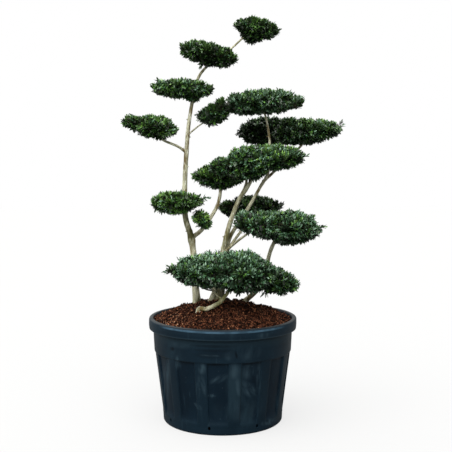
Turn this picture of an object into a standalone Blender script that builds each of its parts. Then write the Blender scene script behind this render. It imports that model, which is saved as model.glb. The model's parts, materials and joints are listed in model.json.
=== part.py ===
"""A Japanese holly trained as clipped pads of foliage on bare stems, in a round nursery tub.

The origin is the centre of the tub's flat underside, +Z is up, and the plant is looked at from -Y.
Sizes are in metres and angles in degrees.
"""

import math
import random
from dataclasses import dataclass

import bmesh
import bpy
import numpy as np
from mathutils import Matrix, Vector, noise

GAP = 0.0003
SEED = 41

# Tub: a tapered wall with a proud band and a rolled rim, flat ribs between sunk panels, drain holes
TUB_STEPS = 48
TUB_FOOT_RADIUS = 0.2270
TUB_HEEL = (0.2310, 0.0060)
TUB_WALL_LOW = (0.2345, 0.0280)
TUB_WALL_HIGH = (0.2668, 0.2742)
TUB_BAND_LOW = (0.2692, 0.2760)
TUB_BAND_HIGH = (0.2735, 0.3620)
TUB_RIM_LOW = (0.2885, 0.3620)
TUB_RIM_SIDE = (0.2905, 0.3800)
TUB_RIM_TOP = 0.4105
TUB_RIM_INNER = 0.2680
TUB_RIM_SHOULDER = 0.0070
TUB_WALL = 0.0075
TUB_BAND_WALL = 0.0097
TUB_FLOOR = 0.0060
PANEL_COUNT = 12
PANEL_FIRST = 25.0
PANEL_ANGLE = 18.0
PANEL_LOW, PANEL_HIGH = 0.0420, 0.2742
PANEL_DEPTH = 0.0045
PANEL_FADE = 0.0220
PANEL_BUNCHING = 1.6
PANEL_CUTTER = 0.0200
DRAIN_COUNT = 8
DRAIN_FIRST = -12.0
DRAIN_WIDTH, DRAIN_HEIGHT = 0.0100, 0.0140
DRAIN_Z = 0.0270
DRAIN_REACH = 0.0400

# Soil: a plug that fills the tub and rises as a mound inside the rim
SOIL_STEPS = 24
SOIL_EDGE = 0.3880
SOIL_PEAK = 0.4650
SOIL_RINGS = 5
SOIL_ROUGHNESS = 0.0060
SOIL_NOISE_SIZE = 0.0700
FOOT_SUNK = 0.0080

# Limbs: 8-sided tubes through smooth paths
LIMB_STEP = 0.042
PATH_FINENESS = 0.05
FLARE_HEIGHT = 0.022
LIMB_ENTRY = 0.90

# Foliage: each mass is a few lens-shaped lobes; a core, twigs and leaves fill it
LENS_POWER = 0.68
CORE_INSET = 0.017
CORE_RIM_INSET = 0.022
CORE_AROUND, CORE_UP = 12, 6
SPACE_MARGIN = 0.055
SPACE_EDGE = 1.02
LIMB_CLEAR = 0.0030
TUNNEL_GAP = 0.0006
LEAF_LENGTH = 0.054
LEAF_WIDTH = 0.030
LEAF_THICKNESS = 0.0024
LEAF_TOTAL = 370
LEAF_TRIES = 10
LEAF_TIP_SHARE = (0.95, 1.0)
LEAF_HIDDEN = 0.9
LEAF_LEAST = 10
LEAF_LIFT = 1.8
LEAF_SWAY = 0.75
LEAF_SUNK = 0.86
STEM_ON_TRUNK = 0.6
STEM_TAPER = 0.7
STEM_SIDES = 6
TWIG_RADIUS = 0.0028
TWIG_TAPER = 0.6
TWIG_SIDES = 3
TWIG_FORK = 0.55
TWIG_SPREAD = (0.15, 0.40)
TWIG_LIFT = (-0.10, 0.25)
TWIGS_PER_LOBE = 4
TWIG_REACH = 0.93


def lens_radius(directions):
    """Distance to the surface of a lens of unit reach, which thins to a blunt rim, along unit directions."""
    flat = np.hypot(directions[:, 0], directions[:, 1])
    upright = np.abs(directions[:, 2])
    low, high = np.zeros(len(flat)), np.full(len(flat), 1.5)
    for _ in range(30):
        middle = (low + high) / 2
        rim = np.maximum(0.0, 1.0 - (middle * flat) ** 2)
        inside = middle * upright < np.where(rim > 0.0, rim**LENS_POWER, -1.0) + 1e-12
        low, high = np.where(inside, middle, low), np.where(inside, high, middle)
    return low


@dataclass
class Limb:
    """A tapering stem or bough: its path, radii, what it springs from and the mass that it enters."""

    name: str
    path: list
    foot: float
    tip: float
    springs_from: str = ""
    enters: str = ""
    flare: float = 0.0
    step: float = LIMB_STEP


@dataclass
class Lobe:
    """A lens of foliage: centre at its rim, reach along X and Y, rise and drop, and tilt about Y."""

    centre: tuple
    reach: float
    depth: float
    rise: float
    drop: float
    tilt: float = 0.0

    def scaled(self, points):
        """Points in the lobe's own frame, where the rim is at 1."""
        turn = math.radians(self.tilt)
        moved = np.atleast_2d(points) - np.array(self.centre)
        along = moved[:, 0] * math.cos(turn) - moved[:, 2] * math.sin(turn)
        above = moved[:, 0] * math.sin(turn) + moved[:, 2] * math.cos(turn)
        height = np.where(above >= 0.0, self.rise, self.drop)
        return np.column_stack((along / self.reach, moved[:, 1] / self.depth, above / height))

    def gauge(self, points):
        """How far out each point lies: 0 at the centre, 1 on the lobe's surface."""
        own = self.scaled(points)
        length = np.maximum(np.linalg.norm(own, axis=1), 1e-9)
        return length / lens_radius(own / length[:, None])

    def surface(self, directions, share=1.0):
        """Points on the lobe's surface, or at a share of the way there, along scaled directions."""
        turn = math.radians(self.tilt)
        own = directions * lens_radius(directions)[:, None] * share
        height = np.where(own[:, 2] >= 0.0, self.rise, self.drop)
        along, above = own[:, 0] * self.reach, own[:, 2] * height
        x = along * math.cos(turn) + above * math.sin(turn)
        z = above * math.cos(turn) - along * math.sin(turn)
        return np.column_stack((x, own[:, 1] * self.depth, z)) + np.array(self.centre)

    def core(self):
        """The lobe of the core, an even depth of leaves inside this one."""
        sides = (self.reach - CORE_RIM_INSET, self.depth - CORE_RIM_INSET)
        heights = (self.rise - CORE_INSET, self.drop - CORE_INSET)
        return Lobe(self.centre, *sides, *heights, self.tilt)

    def area(self):
        """About the lobe's surface, for sharing out the leaves."""
        return self.reach * self.depth + (self.rise + self.drop) * (self.reach + self.depth) / 2


@dataclass
class Mass:
    """A pad of foliage: its lobes, and the trunk that it grows from where no bough enters it."""

    name: str
    lobes: list
    grows_from: str = ""

    def gauge(self, points):
        """The least gauge of the mass's lobes at each point."""
        return np.min([lobe.gauge(points) for lobe in self.lobes], axis=0)


MASSES = [
    Mass("pad_top", [Lobe((0.137, 0.030, 1.540), 0.093, 0.078, 0.048, 0.062, 9)]),
    Mass(
        "pad_second",
        [
            Lobe((-0.088, -0.020, 1.441), 0.094, 0.082, 0.050, 0.060, 6),
            Lobe((-0.014, -0.010, 1.408), 0.086, 0.074, 0.052, 0.050, 12),
        ],
        grows_from="trunk_left",
    ),
    Mass(
        "pad_third",
        [Lobe((-0.155, 0.000, 1.298), 0.132, 0.096, 0.047, 0.060, 5)],
        grows_from="trunk_left",
    ),
    Mass("pad_arch_left", [Lobe((-0.028, -0.025, 1.201), 0.078, 0.064, 0.050, 0.052, -18)]),
    Mass("pad_arch", [Lobe((0.148, 0.000, 1.239), 0.180, 0.130, 0.064, 0.062, 0)]),
    Mass("pad_left", [Lobe((-0.282, -0.060, 1.148), 0.118, 0.092, 0.054, 0.058, 7)]),
    Mass(
        "pad_middle_left",
        [Lobe((-0.184, 0.000, 0.860), 0.108, 0.090, 0.050, 0.062, 0)],
        grows_from="trunk_left",
    ),
    Mass(
        "tuft",
        [Lobe((-0.081, 0.000, 0.793), 0.042, 0.040, 0.046, 0.046, 0)],
        grows_from="bough_fork",
    ),
    Mass("pad_centre_left", [Lobe((-0.015, 0.078, 0.950), 0.110, 0.090, 0.050, 0.062, 0)]),
    Mass(
        "pad_centre",
        [
            Lobe((0.014, -0.025, 1.001), 0.082, 0.074, 0.048, 0.050, -4),
            Lobe((0.104, -0.030, 1.006), 0.104, 0.104, 0.076, 0.070, 0),
            Lobe((0.190, -0.025, 1.028), 0.148, 0.110, 0.058, 0.062, -3),
        ],
    ),
    Mass("pad_back_left", [Lobe((0.193, 0.225, 1.141), 0.138, 0.110, 0.070, 0.062, 0)]),
    Mass("pad_back_right", [Lobe((0.340, 0.110, 1.136), 0.154, 0.116, 0.056, 0.060, -5)]),
    Mass("pad_low_back", [Lobe((0.115, 0.190, 0.832), 0.142, 0.110, 0.052, 0.052, 0)]),
    Mass(
        "pad_low_right",
        [
            Lobe((0.214, -0.078, 0.763), 0.178, 0.125, 0.064, 0.066, 3),
            Lobe((0.262, -0.085, 0.758), 0.130, 0.120, 0.082, 0.080, 4),
        ],
    ),
    Mass(
        "pad_front",
        [
            Lobe((-0.016, -0.120, 0.592), 0.216, 0.142, 0.086, 0.076, -1),
            Lobe((0.070, -0.125, 0.596), 0.144, 0.134, 0.090, 0.090, 3),
        ],
    ),
    Mass("pad_foot_right", [Lobe((0.204, -0.020, 0.546), 0.108, 0.088, 0.078, 0.072, 6)]),
]

LIMBS = [
    Limb(
        "trunk_left",
        [
            (-0.107, 0.050, 0.400),
            (-0.108, 0.050, 0.450),
            (-0.117, 0.046, 0.640),
            (-0.127, 0.040, 0.717),
            (-0.149, 0.032, 0.800),
            (-0.151, 0.025, 0.920),
            (-0.144, 0.015, 1.062),
            (-0.130, 0.006, 1.180),
            (-0.102, 0.004, 1.320),
            (-0.062, 0.006, 1.385),
            (0.029, 0.014, 1.451),
            (0.095, 0.028, 1.512),
            (0.137, 0.030, 1.541),
        ],
        foot=0.0150,
        tip=0.0026,
        enters="pad_top",
        flare=0.007,
    ),
    Limb(
        "trunk_centre",
        [
            (-0.046, 0.032, 0.400),
            (-0.041, 0.032, 0.455),
            (-0.023, 0.030, 0.524),
            (0.003, 0.030, 0.664),
            (0.020, 0.030, 0.762),
            (0.058, 0.030, 0.860),
            (0.093, 0.020, 0.906),
            (0.112, 0.000, 0.950),
            (0.100, -0.025, 1.000),
        ],
        foot=0.0125,
        tip=0.0062,
        enters="pad_centre",
        flare=0.008,
    ),
    Limb(
        "trunk_right",
        [
            (0.000, 0.031, 0.640),
            (0.016, 0.046, 0.672),
            (0.035, 0.052, 0.727),
            (0.094, 0.042, 0.819),
            (0.146, 0.034, 0.910),
            (0.180, 0.030, 0.975),
            (0.186, 0.024, 1.072),
            (0.171, 0.012, 1.180),
            (0.145, 0.000, 1.236),
        ],
        foot=0.0088,
        tip=0.0036,
        springs_from="trunk_centre",
        enters="pad_arch",
    ),
    Limb(
        "stem_low_right",
        [
            (0.052, 0.066, 0.400),
            (0.074, 0.064, 0.440),
            (0.142, 0.062, 0.504),
            (0.168, 0.056, 0.566),
            (0.180, 0.036, 0.640),
            (0.197, 0.000, 0.694),
            (0.226, -0.045, 0.745),
        ],
        foot=0.0095,
        tip=0.0055,
        enters="pad_low_right",
        flare=0.005,
    ),
    Limb(
        "bough_low_front",
        [
            (-0.104, -0.096, 0.410),
            (-0.098, -0.100, 0.438),
            (-0.078, -0.110, 0.452),
            (-0.045, -0.124, 0.459),
            (-0.014, -0.131, 0.477),
            (0.006, -0.131, 0.505),
            (0.026, -0.127, 0.545),
            (0.046, -0.125, 0.585),
        ],
        foot=0.0098,
        tip=0.0058,
        enters="pad_front",
        flare=0.003,
        step=0.016,
    ),
    Limb(
        "bough_fork",
        [
            (-0.1265, 0.0404, 0.712),
            (-0.104, 0.045, 0.726),
            (-0.080, 0.050, 0.748),
            (-0.044, 0.056, 0.800),
            (-0.020, 0.062, 0.848),
            (-0.012, 0.068, 0.905),
            (-0.015, 0.075, 0.945),
        ],
        foot=0.0080,
        tip=0.0050,
        springs_from="trunk_left",
        enters="pad_centre_left",
    ),
    Limb(
        "bough_left",
        [
            (-0.1455, 0.0165, 1.050),
            (-0.176, 0.000, 1.073),
            (-0.228, -0.036, 1.094),
            (-0.270, -0.054, 1.118),
            (-0.282, -0.060, 1.145),
        ],
        foot=0.0058,
        tip=0.0036,
        springs_from="trunk_left",
        enters="pad_left",
    ),
    Limb(
        "bough_arch_left",
        [
            (-0.1375, 0.0105, 1.118),
            (-0.100, 0.000, 1.148),
            (-0.070, -0.012, 1.168),
            (-0.034, -0.024, 1.196),
        ],
        foot=0.0032,
        tip=0.0026,
        springs_from="trunk_left",
        enters="pad_arch_left",
    ),
    Limb(
        "bough_centre_side",
        [
            (0.070, 0.0280, 0.876),
            (0.088, 0.036, 0.914),
            (0.092, 0.040, 0.946),
            (0.060, 0.020, 0.978),
            (0.012, -0.018, 0.998),
        ],
        foot=0.0060,
        tip=0.0042,
        springs_from="trunk_centre",
        enters="pad_centre",
    ),
    Limb(
        "bough_right_thin",
        [
            (0.0015, 0.030, 0.652),
            (0.024, 0.014, 0.672),
            (0.064, -0.012, 0.703),
            (0.104, -0.050, 0.736),
            (0.130, -0.068, 0.765),
        ],
        foot=0.0050,
        tip=0.0038,
        springs_from="trunk_centre",
        enters="pad_low_right",
    ),
    Limb(
        "bough_low_back",
        [
            (0.0285, 0.0505, 0.706),
            (0.049, 0.064, 0.722),
            (0.080, 0.096, 0.744),
            (0.104, 0.146, 0.780),
            (0.115, 0.188, 0.828),
        ],
        foot=0.0056,
        tip=0.0042,
        springs_from="trunk_right",
        enters="pad_low_back",
    ),
    Limb(
        "bough_back_left",
        [
            (0.184, 0.0250, 1.040),
            (0.190, 0.070, 1.062),
            (0.193, 0.140, 1.088),
            (0.193, 0.222, 1.138),
        ],
        foot=0.0052,
        tip=0.0040,
        springs_from="trunk_right",
        enters="pad_back_left",
    ),
    Limb(
        "bough_back_right",
        [
            (0.1600, 0.0325, 0.936),
            (0.200, 0.046, 0.972),
            (0.262, 0.070, 1.030),
            (0.316, 0.096, 1.082),
            (0.340, 0.110, 1.134),
        ],
        foot=0.0062,
        tip=0.0042,
        springs_from="trunk_right",
        enters="pad_back_right",
    ),
    Limb(
        "bough_foot_right",
        [
            (0.1415, 0.062, 0.503),
            (0.166, 0.036, 0.510),
            (0.190, 0.000, 0.522),
            (0.202, -0.020, 0.545),
        ],
        foot=0.0060,
        tip=0.0046,
        springs_from="stem_low_right",
        enters="pad_foot_right",
    ),
    Limb(
        "bough_front_left",
        [
            (-0.012, -0.1312, 0.479),
            (-0.034, -0.130, 0.506),
            (-0.064, -0.124, 0.545),
            (-0.088, -0.120, 0.588),
        ],
        foot=0.0048,
        tip=0.0038,
        springs_from="bough_low_front",
        enters="pad_front",
        step=0.022,
    ),
]

BARK = ("bark", (0.42, 0.38, 0.29), 0.85)
LEAF = ("leaf", (0.035, 0.09, 0.035), 0.45)
EARTH = ("soil", (0.11, 0.045, 0.03), 0.95)
PLASTIC = ("tub plastic", (0.035, 0.06, 0.085), 0.42)


def clear_scene():
    """Remove every object, and what is left of their data."""
    for thing in list(bpy.data.objects):
        bpy.data.objects.remove(thing)
    for mesh in list(bpy.data.meshes):
        bpy.data.meshes.remove(mesh)


def new_collection(name, hidden=False):
    """A collection in the scene; a hidden one holds cutters."""
    made = bpy.data.collections.new(name)
    made.hide_render = hidden
    bpy.context.scene.collection.children.link(made)
    return made


def finish_material(thing, finish):
    """Give the object its own Principled material."""
    kind, colour, roughness = finish
    material = bpy.data.materials.new(f"{thing.name} {kind}")
    material.use_nodes = True
    shader = material.node_tree.nodes["Principled BSDF"]
    shader.inputs["Base Color"].default_value = (*colour, 1.0)
    shader.inputs["Roughness"].default_value = roughness
    shader.inputs["Metallic"].default_value = 0.0
    thing.data.materials.clear()
    thing.data.materials.append(material)


def add_mesh(name, shape, collection):
    """An object from a bmesh, which is freed."""
    mesh = bpy.data.meshes.new(name)
    shape.to_mesh(mesh)
    shape.free()
    thing = bpy.data.objects.new(name, mesh)
    collection.objects.link(thing)
    return thing


def add_cutter(name, shape, cutters):
    """A hidden wire object for a Boolean."""
    thing = add_mesh(name, shape, cutters)
    thing.hide_render = True
    thing.display_type = "WIRE"
    return thing


def add_boolean(thing, operation, other, name):
    """A Boolean modifier with one object."""
    modifier = thing.modifiers.new(name, "BOOLEAN")
    modifier.operation = operation
    modifier.object = other
    return modifier


def turned(name, profile, steps, collection):
    """A profile of (radius, height) turned round Z; it runs down the outer side."""
    shape = bmesh.new()
    corners = [shape.verts.new((radius, 0.0, height)) for radius, height in profile]
    for first, second in zip(corners, corners[1:]):
        shape.edges.new((first, second))
    thing = add_mesh(name, shape, collection)
    screw = thing.modifiers.new("Turn", "SCREW")
    screw.axis = "Z"
    screw.steps = screw.render_steps = steps
    screw.use_merge_vertices = True
    screw.merge_threshold = 0.0001
    return thing


def apply_modifiers(thing):
    """Replace the object's mesh with its evaluated one."""
    graph = bpy.context.evaluated_depsgraph_get()
    mesh = bpy.data.meshes.new_from_object(thing.evaluated_get(graph))
    thing.modifiers.clear()
    thing.data = mesh


def polar(radius, angle, height):
    """A point at an angle from the front (-Y) towards +X."""
    turn = math.radians(angle)
    return Vector((radius * math.sin(turn), -radius * math.cos(turn), height))


def between(low, high, height):
    """The radius at a height on the straight line between two (radius, height) points."""
    share = (height - low[1]) / (high[1] - low[1])
    return low[0] + share * (high[0] - low[0])


def wall_radius(height):
    """The outer radius of the tub's ribs at a height."""
    return between(TUB_WALL_LOW, TUB_WALL_HIGH, height)


def build_tub(tub_parts, cutters):
    """The tub: a turned shell with sunk panels and drain holes cut in it."""
    inner_high = TUB_BAND_HIGH[0] - TUB_BAND_WALL
    side, top = TUB_RIM_SIDE[0], TUB_RIM_TOP
    middle = (side + TUB_RIM_INNER) / 2
    profile = [
        (0.0, TUB_FLOOR),
        (wall_radius(TUB_FLOOR) - TUB_WALL, TUB_FLOOR),
        (inner_high, TUB_BAND_HIGH[1]),
        (TUB_RIM_INNER, top - TUB_RIM_SHOULDER),
        (middle - 0.3 * TUB_RIM_SHOULDER, top),
        (side - 0.3 * TUB_RIM_SHOULDER, top - 0.25 * TUB_RIM_SHOULDER),
        (side, top - TUB_RIM_SHOULDER),
        TUB_RIM_SIDE,
        TUB_RIM_LOW,
        TUB_BAND_HIGH,
        TUB_BAND_LOW,
        TUB_WALL_HIGH,
        TUB_WALL_LOW,
        TUB_HEEL,
        (TUB_FOOT_RADIUS, 0.0),
        (0.0, 0.0),
    ]
    tub = turned("tub", profile, TUB_STEPS, tub_parts)
    for number in range(PANEL_COUNT):
        middle_angle = PANEL_FIRST + 360.0 / PANEL_COUNT * number
        add_boolean(tub, "DIFFERENCE", panel_cutter(number, middle_angle, cutters), f"Panel {number}")
    for number in range(DRAIN_COUNT):
        angle = DRAIN_FIRST + 360.0 / DRAIN_COUNT * number
        add_boolean(tub, "DIFFERENCE", drain_cutter(number, angle, cutters), f"Drain {number}")
    apply_modifiers(tub)
    tub.data.set_sharp_from_angle(angle=math.radians(30))
    finish_material(tub, PLASTIC)
    return tub


def panel_depth(height):
    """How deep a panel is sunk at a height: full at the top, running out above the drain holes."""
    fade = min(1.0, (height - PANEL_LOW) / PANEL_FADE)
    return PANEL_DEPTH * (2.0 * fade - fade * fade) - GAP


def panel_cutter(number, middle_angle, cutters):
    """A curved sheet on the panel's floor, thickened outwards past the wall."""
    shape = bmesh.new()
    bmesh.ops.create_grid(shape, x_segments=2, y_segments=4, size=0.5)
    for corner in shape.verts:
        share = (corner.co.y + 0.5) ** PANEL_BUNCHING
        height = PANEL_LOW + share * (PANEL_HIGH - PANEL_LOW)
        angle = middle_angle + corner.co.x * PANEL_ANGLE
        corner.co = polar(wall_radius(height) - panel_depth(height), angle, height)
    bmesh.ops.recalc_face_normals(shape, faces=shape.faces)
    outward = polar(1.0, middle_angle, 0.0)
    if sum((face.normal.dot(outward) for face in shape.faces), 0.0) < 0.0:
        bmesh.ops.reverse_faces(shape, faces=shape.faces)
    cutter = add_cutter(f"panel cutter {number}", shape, cutters)
    solidify = cutter.modifiers.new("Thickness", "SOLIDIFY")
    solidify.thickness = PANEL_CUTTER
    solidify.offset = 1.0
    return cutter


def drain_cutter(number, angle, cutters):
    """An oval rod through the wall."""
    shape = bmesh.new()
    bmesh.ops.create_cone(
        shape, cap_ends=True, segments=8, radius1=0.5, radius2=0.5, depth=DRAIN_REACH
    )
    size = Matrix.Diagonal((DRAIN_WIDTH, DRAIN_HEIGHT, 1.0, 1.0))
    lie = Matrix.Rotation(math.radians(90), 4, "X")
    spin = Matrix.Rotation(math.radians(angle), 4, "Z")
    place = Matrix.Translation(polar(wall_radius(DRAIN_Z), angle, DRAIN_Z))
    shape.transform(place @ spin @ lie @ size)
    return add_cutter(f"drain cutter {number}", shape, cutters)


def soil_height(x, y):
    """The mound's smooth surface."""
    share = min(1.0, math.hypot(x, y) / (TUB_BAND_HIGH[0] - TUB_BAND_WALL))
    return SOIL_EDGE + (SOIL_PEAK - SOIL_EDGE) * (1.0 - share * share)


def build_soil(soil_parts, cutters, footed):
    """The plug of soil, with a socket for the foot of each stem that stands in it."""
    low = (wall_radius(TUB_FLOOR) - TUB_WALL, TUB_FLOOR)
    high = (TUB_BAND_HIGH[0] - TUB_BAND_WALL, TUB_BAND_HIGH[1])
    edge = between(low, high, SOIL_EDGE) - 2 * GAP
    foot = between(low, high, TUB_FLOOR + GAP) - 2 * GAP
    rings = [edge * ring / SOIL_RINGS for ring in range(SOIL_RINGS + 1)]
    profile = [(radius, soil_height(radius, 0.0)) for radius in rings]
    profile += [(foot, TUB_FLOOR + GAP), (0.0, TUB_FLOOR + GAP)]
    soil = turned("soil", profile, SOIL_STEPS, soil_parts)
    apply_modifiers(soil)
    for corner in soil.data.vertices:
        reach = math.hypot(corner.co.x, corner.co.y)
        if corner.co.z > SOIL_EDGE and reach < edge * 0.99:
            corner.co.z += SOIL_ROUGHNESS * noise.noise(corner.co / SOIL_NOISE_SIZE)
    for limb in footed:
        socket = add_cutter(f"{limb.name} socket", limb_shape(limb, 2 * GAP), cutters)
        add_boolean(soil, "DIFFERENCE", socket, socket.name)
    apply_modifiers(soil)
    finish_material(soil, EARTH)
    return soil


def smooth_path(path, step):
    """Evenly spaced points on the smooth curve through a limb's own points."""
    ends = [tuple(2 * a - b for a, b in zip(path[0], path[1]))]
    ends.append(tuple(2 * a - b for a, b in zip(path[-1], path[-2])))
    knots = np.array([ends[0], *path, ends[1]])
    fine = []
    for before, start, end, after in zip(knots, knots[1:], knots[2:], knots[3:]):
        for share in np.arange(0.0, 1.0, PATH_FINENESS):
            fine.append(
                0.5
                * (
                    2 * start
                    + (end - before) * share
                    + (2 * before - 5 * start + 4 * end - after) * share**2
                    + (3 * start - before - 3 * end + after) * share**3
                )
            )
    fine = np.array([*fine, knots[-2]])
    lengths = np.concatenate(([0.0], np.cumsum(np.linalg.norm(np.diff(fine, axis=0), axis=1))))
    count = max(3, round(lengths[-1] / step))
    stops = np.linspace(0.0, lengths[-1], count + 1)
    return np.column_stack([np.interp(stops, lengths, fine[:, axis]) for axis in range(3)])


def limb_line(limb):
    """The limb's points and radii, ending where it enters its mass, and the rest of its way in."""
    points = smooth_path(limb.path, limb.step)
    share = np.linspace(0.0, 1.0, len(points))
    radii = limb.foot + (limb.tip - limb.foot) * share
    if limb.flare:
        height = np.maximum(0.0, points[:, 2] - foot_level(limb))
        radii = radii + limb.flare * np.exp(-height / FLARE_HEIGHT)
    if not limb.enters:
        return points, radii, points[-1:]
    lobes = MASS_BY_NAME[limb.enters].lobes
    aim = min(lobes, key=lambda lobe: float(lobe.gauge(points[-1:])[0]))
    inside = aim.gauge(points) < LIMB_ENTRY
    last = len(points) - 1
    while last > 1 and inside[last]:
        last -= 1
    return points[: last + 2], radii[: last + 2], points[last + 1 :]


def foot_level(limb):
    """Ground level for a stem: a little under the mound's surface at its foot."""
    points = smooth_path(limb.path, 0.004)
    above = [p for p in points if p[2] > soil_height(p[0], p[1])]
    return soil_height(above[0][0], above[0][1]) - FOOT_SUNK


def tube_shape(points, radii, resolution=2):
    """A closed tube round a path, from a bevelled curve with filled caps."""
    curve = bpy.data.curves.new("tube", "CURVE")
    curve.dimensions = "3D"
    curve.bevel_depth = 1.0
    curve.bevel_resolution = resolution
    curve.use_fill_caps = True
    spline = curve.splines.new("POLY")
    spline.points.add(len(points) - 1)
    for knot, place, radius in zip(spline.points, points, radii):
        knot.co = (*place, 1.0)
        knot.radius = radius
    thing = bpy.data.objects.new("tube", curve)
    bpy.context.scene.collection.objects.link(thing)
    graph = bpy.context.evaluated_depsgraph_get()
    mesh = bpy.data.meshes.new_from_object(thing.evaluated_get(graph))
    shape = bmesh.new()
    shape.from_mesh(mesh)
    bmesh.ops.remove_doubles(shape, verts=shape.verts, dist=1e-5)
    bpy.data.objects.remove(thing)
    bpy.data.curves.remove(curve)
    bpy.data.meshes.remove(mesh)
    return shape


def limb_shape(limb, swell=0.0):
    """The limb's tube, swollen all round for a cutter, cut flat at ground level where it has a foot."""
    points, radii, _ = limb_line(limb)
    shape = tube_shape(points, radii + swell)
    if limb.flare:
        cut_flat(shape, foot_level(limb) - swell)
    return shape


def cut_flat(shape, level):
    """Remove what lies below a level and close the cut."""
    everything = [*shape.verts, *shape.edges, *shape.faces]
    bmesh.ops.bisect_plane(
        shape, geom=everything, dist=1e-6, plane_co=(0, 0, level), plane_no=(0, 0, -1), clear_outer=True
    )
    open_edges = [edge for edge in shape.edges if edge.is_boundary]
    bmesh.ops.holes_fill(shape, edges=open_edges, sides=0)
    bmesh.ops.recalc_face_normals(shape, faces=shape.faces)


def build_limb(limb, limb_parts, cutters):
    """One limb, seated on what it springs from."""
    thing = add_mesh(limb.name, limb_shape(limb), limb_parts)
    if limb.springs_from:
        carrier = LIMB_BY_NAME[limb.springs_from]
        seat = add_cutter(f"{limb.name} seat", limb_shape(carrier, GAP * 1.2), cutters)
        add_boolean(thing, "DIFFERENCE", seat, "Seat")
        apply_modifiers(thing)
        keep_main_shell(thing)
    thing.data.shade_smooth()
    finish_material(thing, BARK)
    return thing


def keep_main_shell(thing):
    """Keep the largest closed shell: loose scraps and sealed hollows go."""
    shape = bmesh.new()
    shape.from_mesh(thing.data)
    bmesh.ops.triangulate(shape, faces=shape.faces)
    left = set(shape.faces)
    shells = []
    while left:
        shell, front = [], [left.pop()]
        while front:
            face = front.pop()
            shell.append(face)
            near = {other for edge in face.edges for other in edge.link_faces} & left
            left -= near
            front.extend(near)
        shells.append(shell)
    largest = max(shells, key=len)
    for shell in shells:
        if shell is not largest:
            bmesh.ops.delete(shape, geom=shell, context="FACES")
    shape.to_mesh(thing.data)
    shape.free()


def near_masses(mass):
    """The other masses whose space may meet this one's."""
    others = []
    for other in MASSES:
        if other is mass:
            continue
        for mine in mass.lobes:
            for theirs in other.lobes:
                apart = np.linalg.norm(np.subtract(mine.centre, theirs.centre))
                if apart < mine.reach + theirs.reach and other not in others:
                    others.append(other)
    return others


def keeps_its_space(mass, others, points):
    """True for each point that is nearer this mass than any other, by their gauges."""
    own = mass.gauge(points)
    kept = np.ones(len(points), bool)
    for other in others:
        kept &= own + SPACE_MARGIN < other.gauge(points)
    return kept


def core_shape(mass, others, lobe):
    """A lobe's core: a coarse lens inside it, drawn in where another mass comes near."""
    shape = bmesh.new()
    bmesh.ops.create_uvsphere(shape, u_segments=CORE_AROUND, v_segments=CORE_UP, radius=1.0)
    directions = np.array([corner.co.normalized() for corner in shape.verts])
    core, share = lobe.core(), np.ones(len(directions))
    for _ in range(12):
        places = core.surface(directions, share[:, None])
        share = np.where(keeps_its_space(mass, others, places), share, share * 0.93)
    for corner, place in zip(shape.verts, places):
        corner.co = place
    return shape


def rod_shape(start, end, first, last, sides):
    """A straight tapering twig."""
    start, end = Vector(start), Vector(end)
    way = end - start
    turn = way.to_track_quat("Z", "Y").to_matrix().to_4x4()
    shape = bmesh.new()
    bmesh.ops.create_cone(
        shape,
        cap_ends=True,
        segments=sides,
        radius1=first,
        radius2=last,
        depth=way.length,
        matrix=Matrix.Translation((start + end) / 2) @ turn,
    )
    return shape


def leaf_shape(root, tip, flat):
    """A leaf of eight faces from root to tip, its blade square to the direction flat."""
    root, tip = Vector(root), Vector(tip)
    along = (tip - root).normalized()
    across = along.cross(Vector(flat)).normalized()
    up = across.cross(along)
    turn = Matrix((across, up, along)).transposed().to_4x4()
    size = Matrix.Diagonal((LEAF_WIDTH / 2, LEAF_THICKNESS / 2, (tip - root).length / 2, 1.0))
    shape = bmesh.new()
    bmesh.ops.create_uvsphere(shape, u_segments=4, v_segments=2, radius=1.0)
    shape.transform(Matrix.Translation((root + tip) / 2) @ turn @ size)
    return shape


def limb_distance(points, lines):
    """The clearance from each point to the nearest limb's surface."""
    nearest = np.full(len(points), 1.0)
    for centres, radii in lines:
        for start, end, first, last in zip(centres, centres[1:], radii, radii[1:]):
            way = end - start
            share = np.clip((points - start) @ way / (way @ way), 0.0, 1.0)
            gap = np.linalg.norm(points - start - share[:, None] * way, axis=1)
            nearest = np.minimum(nearest, gap - (first + (last - first) * share))
    return nearest


def even_directions(count, rng):
    """Directions spread evenly over a sphere, turned by a random start."""
    golden = math.pi * (3.0 - math.sqrt(5.0))
    start = rng.uniform(0.0, 2.0 * math.pi)
    for number in range(count):
        height = 1.0 - 2.0 * (number + 0.5) / count
        reach = math.sqrt(1.0 - height * height)
        angle = start + golden * number
        yield np.array((reach * math.cos(angle), reach * math.sin(angle), height))


def stem_of(mass):
    """Where the mass's stem starts and its radius there: at its bough's tip, or on its trunk."""
    middle = np.mean([lobe.centre for lobe in mass.lobes], axis=0)
    if mass.grows_from:
        centres, radii, _ = limb_line(LIMB_BY_NAME[mass.grows_from])
        below = centres[centres[:, 2] < middle[2]]
        start = below[np.argmin(np.linalg.norm(below - middle, axis=1))]
        thickness = float(np.interp(middle[2], centres[:, 2], radii))
        return [(start, mass.lobes[0].centre, STEM_ON_TRUNK * thickness)]
    stems = []
    for limb in LIMBS:
        if limb.enters == mass.name:
            centres, radii, rest = limb_line(limb)
            way = centres[-1] - centres[-2]
            start = centres[-1] + way / np.linalg.norm(way) * GAP * 1.5
            stems.append((start, rest[-1], float(radii[-1])))
    return stems


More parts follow.
